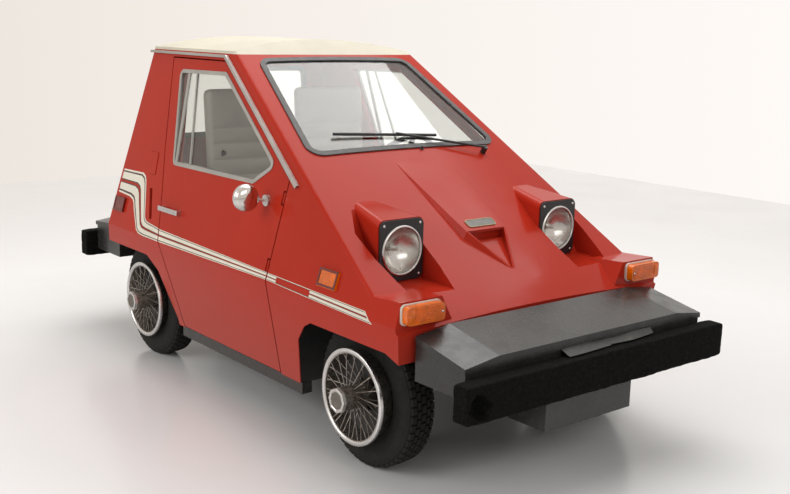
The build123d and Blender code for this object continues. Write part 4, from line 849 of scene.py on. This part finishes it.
# -------- bumpers
STRIP_STEPS = 28
STRIP_X, STRIP_LENGTH, STRIP_Z, STRIP_CLIMB = -165, 460, 466, 2
STRIP_BACK_Y = -1317
STRIP_FRONT_Y, STRIP_NARROW_FRONT_Y = -1352, -1344  # on its first and its second half
STRIP_NICK = 0.93
BAR_CELLS = (110, 12, 16)
BAR_INSET = 0.004
BAR_END = 0.05  # the length over which an end draws in, in metres
BAR_FLAT_Y, BAR_FLAT_Z = 0.72, 0.80  # share of each face that stays flat
LUMP, FUZZ = (0.0035, 22), (0.0018, 70)  # (depth in metres, scale)
TEAR_AT_END, TEAR_DROP = 0.062, 0.008
TEAR_HALF_WIDTH, TEAR_HALF_HEIGHT, TEAR_REACH, TEAR_DEPTH = 0.034, 0.038, 0.03, 0.045


def bumper_strip():
    """A thin bent strip that lies loose between the front box and its bumper."""
    rows = []
    for i in range(STRIP_STEPS + 1):
        t = i / STRIP_STEPS
        sag = 2.5 * math.sin(9 * t) + 1.5 * noise.noise(Vector((t * 7, 0, 0)))
        back = STRIP_BACK_Y + 2 * math.sin(5 * t)
        if t < 0.5:
            front = STRIP_FRONT_Y - 4 * math.sin(7 * t + 1)
        else:
            front = STRIP_NARROW_FRONT_Y - 5 * math.sin(11 * t)
        if t > STRIP_NICK:
            front -= 60 * (STRIP_NICK - t)
        x, z = STRIP_X + STRIP_LENGTH * t, STRIP_Z + STRIP_CLIMB * t
        middle = (back + front) / 2
        # over its upper face to the front edge, and back under it
        section = ((back, 16 + sag), (middle, 8 + sag * 0.5), (front, 1), (front, -0.5),
                   (middle, 6.4 + sag * 0.5), (back, 14.5 + sag))
        rows.append([at(x, y, z + rise) for y, rise in section])
    form = bmesh.new()
    capped(form, rows)
    piece("bumper_strip", form, "strip_black", "bare_aluminium")


def gridded_box(low, high, cells):
    """A box whose faces are cut into cells, so many along each axis."""
    form = bmesh.new()
    box_corners(form, low, high)
    for axis, count in enumerate(cells):
        for k in range(1, count):
            place = low.copy()
            place[axis] += (high[axis] - low[axis]) * k / count
            normal = [0, 0, 0]
            normal[axis] = 1
            bmesh.ops.bisect_plane(form, geom=[*form.verts, *form.edges, *form.faces], plane_co=place,
                                   plane_no=normal)
    return form


def weather(v, middle, half):
    """Rounds a point of the bar, draws its ends in and roughens it."""
    d = v.co - middle
    fy, fz = abs(d.y) / half.y, abs(d.z) / half.z
    fx = max(0.0, (abs(d.x) - (half.x - BAR_END)) / BAR_END)
    over_y, over_z = max(0, fy - BAR_FLAT_Y) / (1 - BAR_FLAT_Y), max(0, fz - BAR_FLAT_Z) / (1 - BAR_FLAT_Z)
    round_off = max(0.0, math.hypot(over_y, over_z) - 1)
    v.co.y = middle.y + d.y * (1 - 0.11 * round_off - 0.05 * fx * fx)
    v.co.z = middle.z + d.z * (1 - 0.09 * round_off - 0.05 * fx * fx)
    push = sum(depth * noise.noise(v.co * scale) for depth, scale in (LUMP, FUZZ))
    v.co += Vector((0, math.copysign(push, d.y) * (fy > 0.95), math.copysign(push, d.z) * (fz > 0.95)))
    if fx > 0.99:
        v.co.x -= math.copysign(0.003 + 0.004 * abs(noise.noise(v.co * 40)), d.x)


def tear(v, middle, torn_at):
    """Pushes a point near the tear inwards."""
    away = torn_at - v.co
    if abs(away.y) >= TEAR_REACH:
        return
    ragged = 1 + 0.5 * noise.noise(v.co * 45)
    near = math.hypot(away.x / TEAR_HALF_WIDTH, away.z / TEAR_HALF_HEIGHT) * ragged
    if near < 1:
        depth = TEAR_DEPTH * (1 - near ** 4) + 0.006 * noise.noise(v.co * 90)
        v.co += Vector((0, math.copysign(depth, middle.y - v.co.y), 0))


def bar(name, node, torn_at=None):
    """A padded bar: rounded, lumpy and frayed, and torn open where torn_at is given."""
    inset = Vector([BAR_INSET] * 3)
    low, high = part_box(node)
    low, high = low + inset, high - inset
    middle, half = (low + high) / 2, (high - low) / 2
    form = gridded_box(low, high, BAR_CELLS)
    for v in form.verts:
        weather(v, middle, half)
        if torn_at is not None:
            tear(v, middle, torn_at)
    foam = piece(name, form, "bumper_foam", smooth=True)
    refine = foam.modifiers.new("refine", "SUBSURF")
    refine.levels = refine.render_levels = 1
    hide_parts(node)


def bumpers():
    low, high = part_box("front_bumper")
    bar("front_bar", "front_bumper", Vector((low.x + TEAR_AT_END, low.y, (low.z + high.z) / 2 - TEAR_DROP)))
    bar("rear_bar", "rear_bumper")


# -------- seats
SEAT_X, SEAT_HALF = 235, 205
CUSHION = ((-SEAT_HALF, 110, 322), (SEAT_HALF, 490, 428))  # its lowest and highest corner
CUSHION_MARGIN, CUSHION_CORNER = (9, 4, 12), 22  # at its sides, under it and over it
CUSHION_SEAMS = (180, 250, 320, 390, 450)  # stations along Y
BACK_FOOT = (528, 352)
BACK_LEAN = math.radians(4.6)
BACK_SIZE = (193, 40, 880)  # half its width, half its thickness, height
BACK_MARGIN, BACK_CORNER = 8, 26
BACK_SEAMS = [0.14 + 0.07 * i for i in range(9)]  # heights over its foot, in metres
CLOTH_FRAMES, CLOTH_PRESSURE, CLOTH_QUALITY = 20, 4, 4
VOXEL, SEAM_DIP, MOST_PUFF = 0.006, 0.005, 0.014  # in metres


def remeshed(name, low, high, corner):
    """A rounded box in metres, as an object of even small faces."""
    form = bmesh.new()
    slab(form, low, high, corner, 4)
    thing = in_scene(name, mesh_of(name, form))
    remesh = thing.modifiers.new("remesh", "REMESH")
    remesh.mode = "VOXEL"
    remesh.voxel_size = VOXEL
    graph = bpy.context.evaluated_depsgraph_get()
    thing.data = bpy.data.meshes.new_from_object(thing.evaluated_get(graph))
    thing.modifiers.clear()
    return thing


def sew(thing, low, high, corner, channels, axes):
    """Sinks the channels, and puts them and the edges in a group that the cloth holds still."""
    middle, half = (low + high) / 2, (high - low) / 2
    face_axis, run_axis = axes
    sewn = thing.vertex_groups.new(name="sewn")
    for v in thing.data.vertices:
        p = v.co.copy()
        share = [abs(p[k] - middle[k]) / half[k] for k in range(3)]
        edge = sum(s > 1 - corner / half[k] * 0.75 for k, s in enumerate(share)) >= 2
        channel = share[face_axis] > 0.9 and any(abs(p[run_axis] - c) < VOXEL * 0.75 for c in channels)
        if edge or channel:
            sewn.add([v.index], 1.0, "REPLACE")
        if channel:
            v.co[face_axis] -= math.copysign(SEAM_DIP, p[face_axis] - middle[face_axis])


def blow_up(thing):
    """Cloth under pressure between its seams, applied to the mesh, with each move held to MOST_PUFF."""
    cloth = thing.modifiers.new("cloth", "CLOTH")
    cloth.settings.use_pressure = True
    cloth.settings.uniform_pressure_force = CLOTH_PRESSURE
    cloth.settings.vertex_group_mass = "sewn"
    cloth.settings.pin_stiffness = 1
    cloth.settings.quality = CLOTH_QUALITY
    cloth.settings.effector_weights.gravity = 0
    cloth.point_cache.frame_start, cloth.point_cache.frame_end = 1, CLOTH_FRAMES
    scene = bpy.context.scene
    for frame_number in range(1, CLOTH_FRAMES + 1):
        scene.frame_set(frame_number)
    graph = bpy.context.evaluated_depsgraph_get()
    blown = [v.co.copy() for v in thing.evaluated_get(graph).data.vertices]
    thing.modifiers.remove(cloth)
    scene.frame_set(1)
    for v, p in zip(thing.data.vertices, blown):
        move = p - v.co
        if move.length > MOST_PUFF:
            move *= MOST_PUFF / move.length
        v.co = v.co + move


def puffed(name, low, high, corner, channels, axes):
    """A stuffed form in metres; channels are the stations where it is sewn through.

    axes are the one that its padded faces look along, and the one that the channels' stations run along."""
    thing = remeshed(name, low, high, corner)
    sew(thing, low, high, corner, channels, axes)
    blow_up(thing)
    for polygon in thing.data.polygons:
        polygon.use_smooth = True
    return thing


def pad(name, source, matrix):
    """A copy of a stuffed form at its place in the car."""
    mesh = source.data.copy()
    mesh.transform(matrix)
    mesh.materials.clear()
    mesh.materials.append(MATERIALS["seat_vinyl"])
    thing = in_scene(name, mesh)
    refine = thing.modifiers.new("refine", "SUBSURF")
    refine.levels = refine.render_levels = 1
    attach(thing, BODY)
    return thing


def seats():
    beside, under, over = CUSHION_MARGIN
    (x0, y0, z0), (x1, y1, z1) = CUSHION
    low, high = at(x0 + beside, y0 + beside, z0 + under), at(x1 - beside, y1 - beside, z1 - over)
    seams = [at(0, y, 0).y for y in CUSHION_SEAMS]
    cushion = puffed("cushion_form", low, high, CUSHION_CORNER / 1000, seams, (2, 1))
    x, y = BACK_SIZE[0] - BACK_MARGIN, BACK_SIZE[1] - BACK_MARGIN
    low, high = Vector((-x, -y, BACK_MARGIN)) / 1000, Vector((x, y, BACK_SIZE[2] - BACK_MARGIN)) / 1000
    back = puffed("back_form", low, high, BACK_CORNER / 1000, BACK_SEAMS, (1, 2))
    lean = Matrix.Rotation(-BACK_LEAN, 4, "X")
    for hand, side in HANDS:
        x = hand * SEAT_X
        seat_pad = pad(f"seat_cushion_{side}", cushion, Matrix.Translation((x / 1000, 0, 0)))
        pad(f"seat_back_{side}", back, Matrix.Translation(at(x, *BACK_FOOT)) @ lean)
        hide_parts(f"seat_{side}")
    for source in (cushion, back):
        bpy.data.objects.remove(source)


# -------- cabin
CARD_OUTLINE = [(-240, 215), (470, 215), (590, 560), (640, 850), (-40, 850), (-235, 800)]
CARD_DEPTH, CARD_THICKNESS = -42.4, 2
POD_LOW, POD_HIGH, POD_CORNER = (105, -262, 926), (325, -160, 985), 10
DIAL_STATIONS, DIAL_Y, DIAL_Z = (165, 265), -159.5, 955
DIAL = [(0, ON_AXIS), (0, 36), (4, 36), (6, 33), (3, 31), (3, ON_AXIS)]


def door_cards():
    """Trim cards inside the doors, bent at the crease."""
    for hand, side in HANDS:
        form = bmesh.new()
        for crease_side in (1, -1):
            shape = beside_crease(CARD_OUTLINE, crease_side)
            nudge = crease_side * CREASE_NUDGE
            points = [on_side(hand, y, z + nudge, CARD_DEPTH) for y, z in shape]
            thick_patch(form, points, CARD_THICKNESS / 1000)
        piece(f"door_card_{side}", form, "trim_card", "seat_vinyl", f"door_{side}")


def instruments():
    pod, dials = bmesh.new(), bmesh.new()
    slab(pod, at(*POD_LOW), at(*POD_HIGH), POD_CORNER / 1000)
    for x in DIAL_STATIONS:
        lathe(dials, DIAL, at(x, DIAL_Y, DIAL_Z), (0, 1, 0), 40)
    piece("instrument_pod", pod, "black_plastic", smooth=True)
    piece("dials", dials, "bare_aluminium", smooth=True)


# -------- floor and light
FLOOR_CORNERS = [(-18, -18), (6.1, -18), (6.1, 6.2), (-18, 6.2)]
FLOOR_REACH = 12
# (share of FLOOR_REACH from the frame's origin, light that only the camera sees)
FLOOR_LIFT = [(0.12, (0, 0, 0)), (0.22, (0.16, 0.155, 0.15)), (0.35, (0.20, 0.19, 0.18)),
              (0.6, (0.28, 0.265, 0.25))]
WORLD_COLOUR, WORLD_STRENGTH = (1, 0.985, 0.96, 1), 0.31
# (X of the direction looked in, the wall's white there)
WALL_WHITES = [(0.15, (0.80, 0.745, 0.68)), (0.55, (0.93, 0.87, 0.82)), (0.90, (1.0, 0.965, 0.93))]
# name, place, aim, width and height, power; in metres and watts
LAMPS = [("overhead", (0.9, 0.5, 4.2), (0, 0, 0), (4.4, 3.6), 138),
         ("front", (-1.0, -5.5, 3.4), (0, 0, 0.5), (4.0, 2.0), 55),
         ("side", (-5.5, 0.5, 2.8), (0, 0, 0.6), (4.5, 2.4), 120)]


def floor_white():
    """Plain white, lifted for the camera alone away from the car, so that it meets the walls' white."""
    mat = surface("backdrop", (0.90, 0.885, 0.87), 0.22, vary=0.012, scale=0.7, rough_vary=0.05,
                  bumps=((3, 0.0004),))
    n = Nodes(mat.node_tree)
    reach = n.new("ShaderNodeVectorMath")
    reach.operation = "LENGTH"
    n.link(n.coords["Object"], reach.inputs[0])
    share = n.math("DIVIDE", reach.outputs["Value"], FLOOR_REACH)
    n.link(n.ramp(share, FLOOR_LIFT), n.bsdf.inputs["Emission Color"])
    n.link(n.new("ShaderNodeLightPath").outputs["Is Camera Ray"], n.bsdf.inputs["Emission Strength"])
    return mat


def backdrop():
    """The studio's floor, which ends where its two white walls stand."""
    form = bmesh.new()
    form.faces.new([form.verts.new((x, y, 0)) for x, y in FLOOR_CORNERS])
    mesh = mesh_of("floor", form)
    mesh.materials.append(floor_white())
    in_scene("floor", mesh)


def studio_world():
    """An even light, with the walls' whites where the camera, glass and gloss look out at them."""
    world = bpy.data.worlds.new("studio")
    bpy.context.scene.world = world
    world.use_nodes = True
    n = Nodes(world.node_tree)
    light = n.tree.nodes["Background"]
    light.inputs["Color"].default_value = WORLD_COLOUR
    light.inputs["Strength"].default_value = WORLD_STRENGTH
    wall = n.new("ShaderNodeBackground")
    n.link(n.ramp(n.part(n.coords["Generated"], "X"), WALL_WHITES), wall.inputs["Color"])
    path = n.new("ShaderNodeLightPath").outputs
    seen = n.math("MAXIMUM", path["Is Camera Ray"], path["Is Glossy Ray"])
    seen = n.math("MAXIMUM", seen, path["Is Transmission Ray"])
    mix = n.new("ShaderNodeMixShader")
    n.link(seen, mix.inputs["Fac"])
    n.link(light.outputs["Background"], mix.inputs[1])
    n.link(wall.outputs["Background"], mix.inputs[2])
    n.link(mix.outputs["Shader"], n.tree.nodes["World Output"].inputs["Surface"])


def lamp(name, place, aim, size, power):
    data = bpy.data.lights.new(name, "AREA")
    data.shape = "RECTANGLE"
    data.size, data.size_y = size
    data.energy = power
    light = bpy.data.objects.new(name, data)
    light.location = place
    light.rotation_mode = "QUATERNION"
    light.rotation_quaternion = (Vector(aim) - Vector(place)).to_track_quat("-Z", "Y")
    bpy.context.scene.collection.objects.link(light)


make_camera()
dress_nodes()
stripes()
tyres()
wheel_dress()
headlamps()
turn_lamps()
marker_frames()
mirror_shells()
scoop_plate()
washer_nozzle()
slot_shades()
window_dividers()
bumper_strip()
bumpers()
seats()
door_cards()
instruments()
backdrop()
studio_world()
for row in LAMPS:
    lamp(*row)

bpy.context.scene.view_settings.view_transform = "Standard"
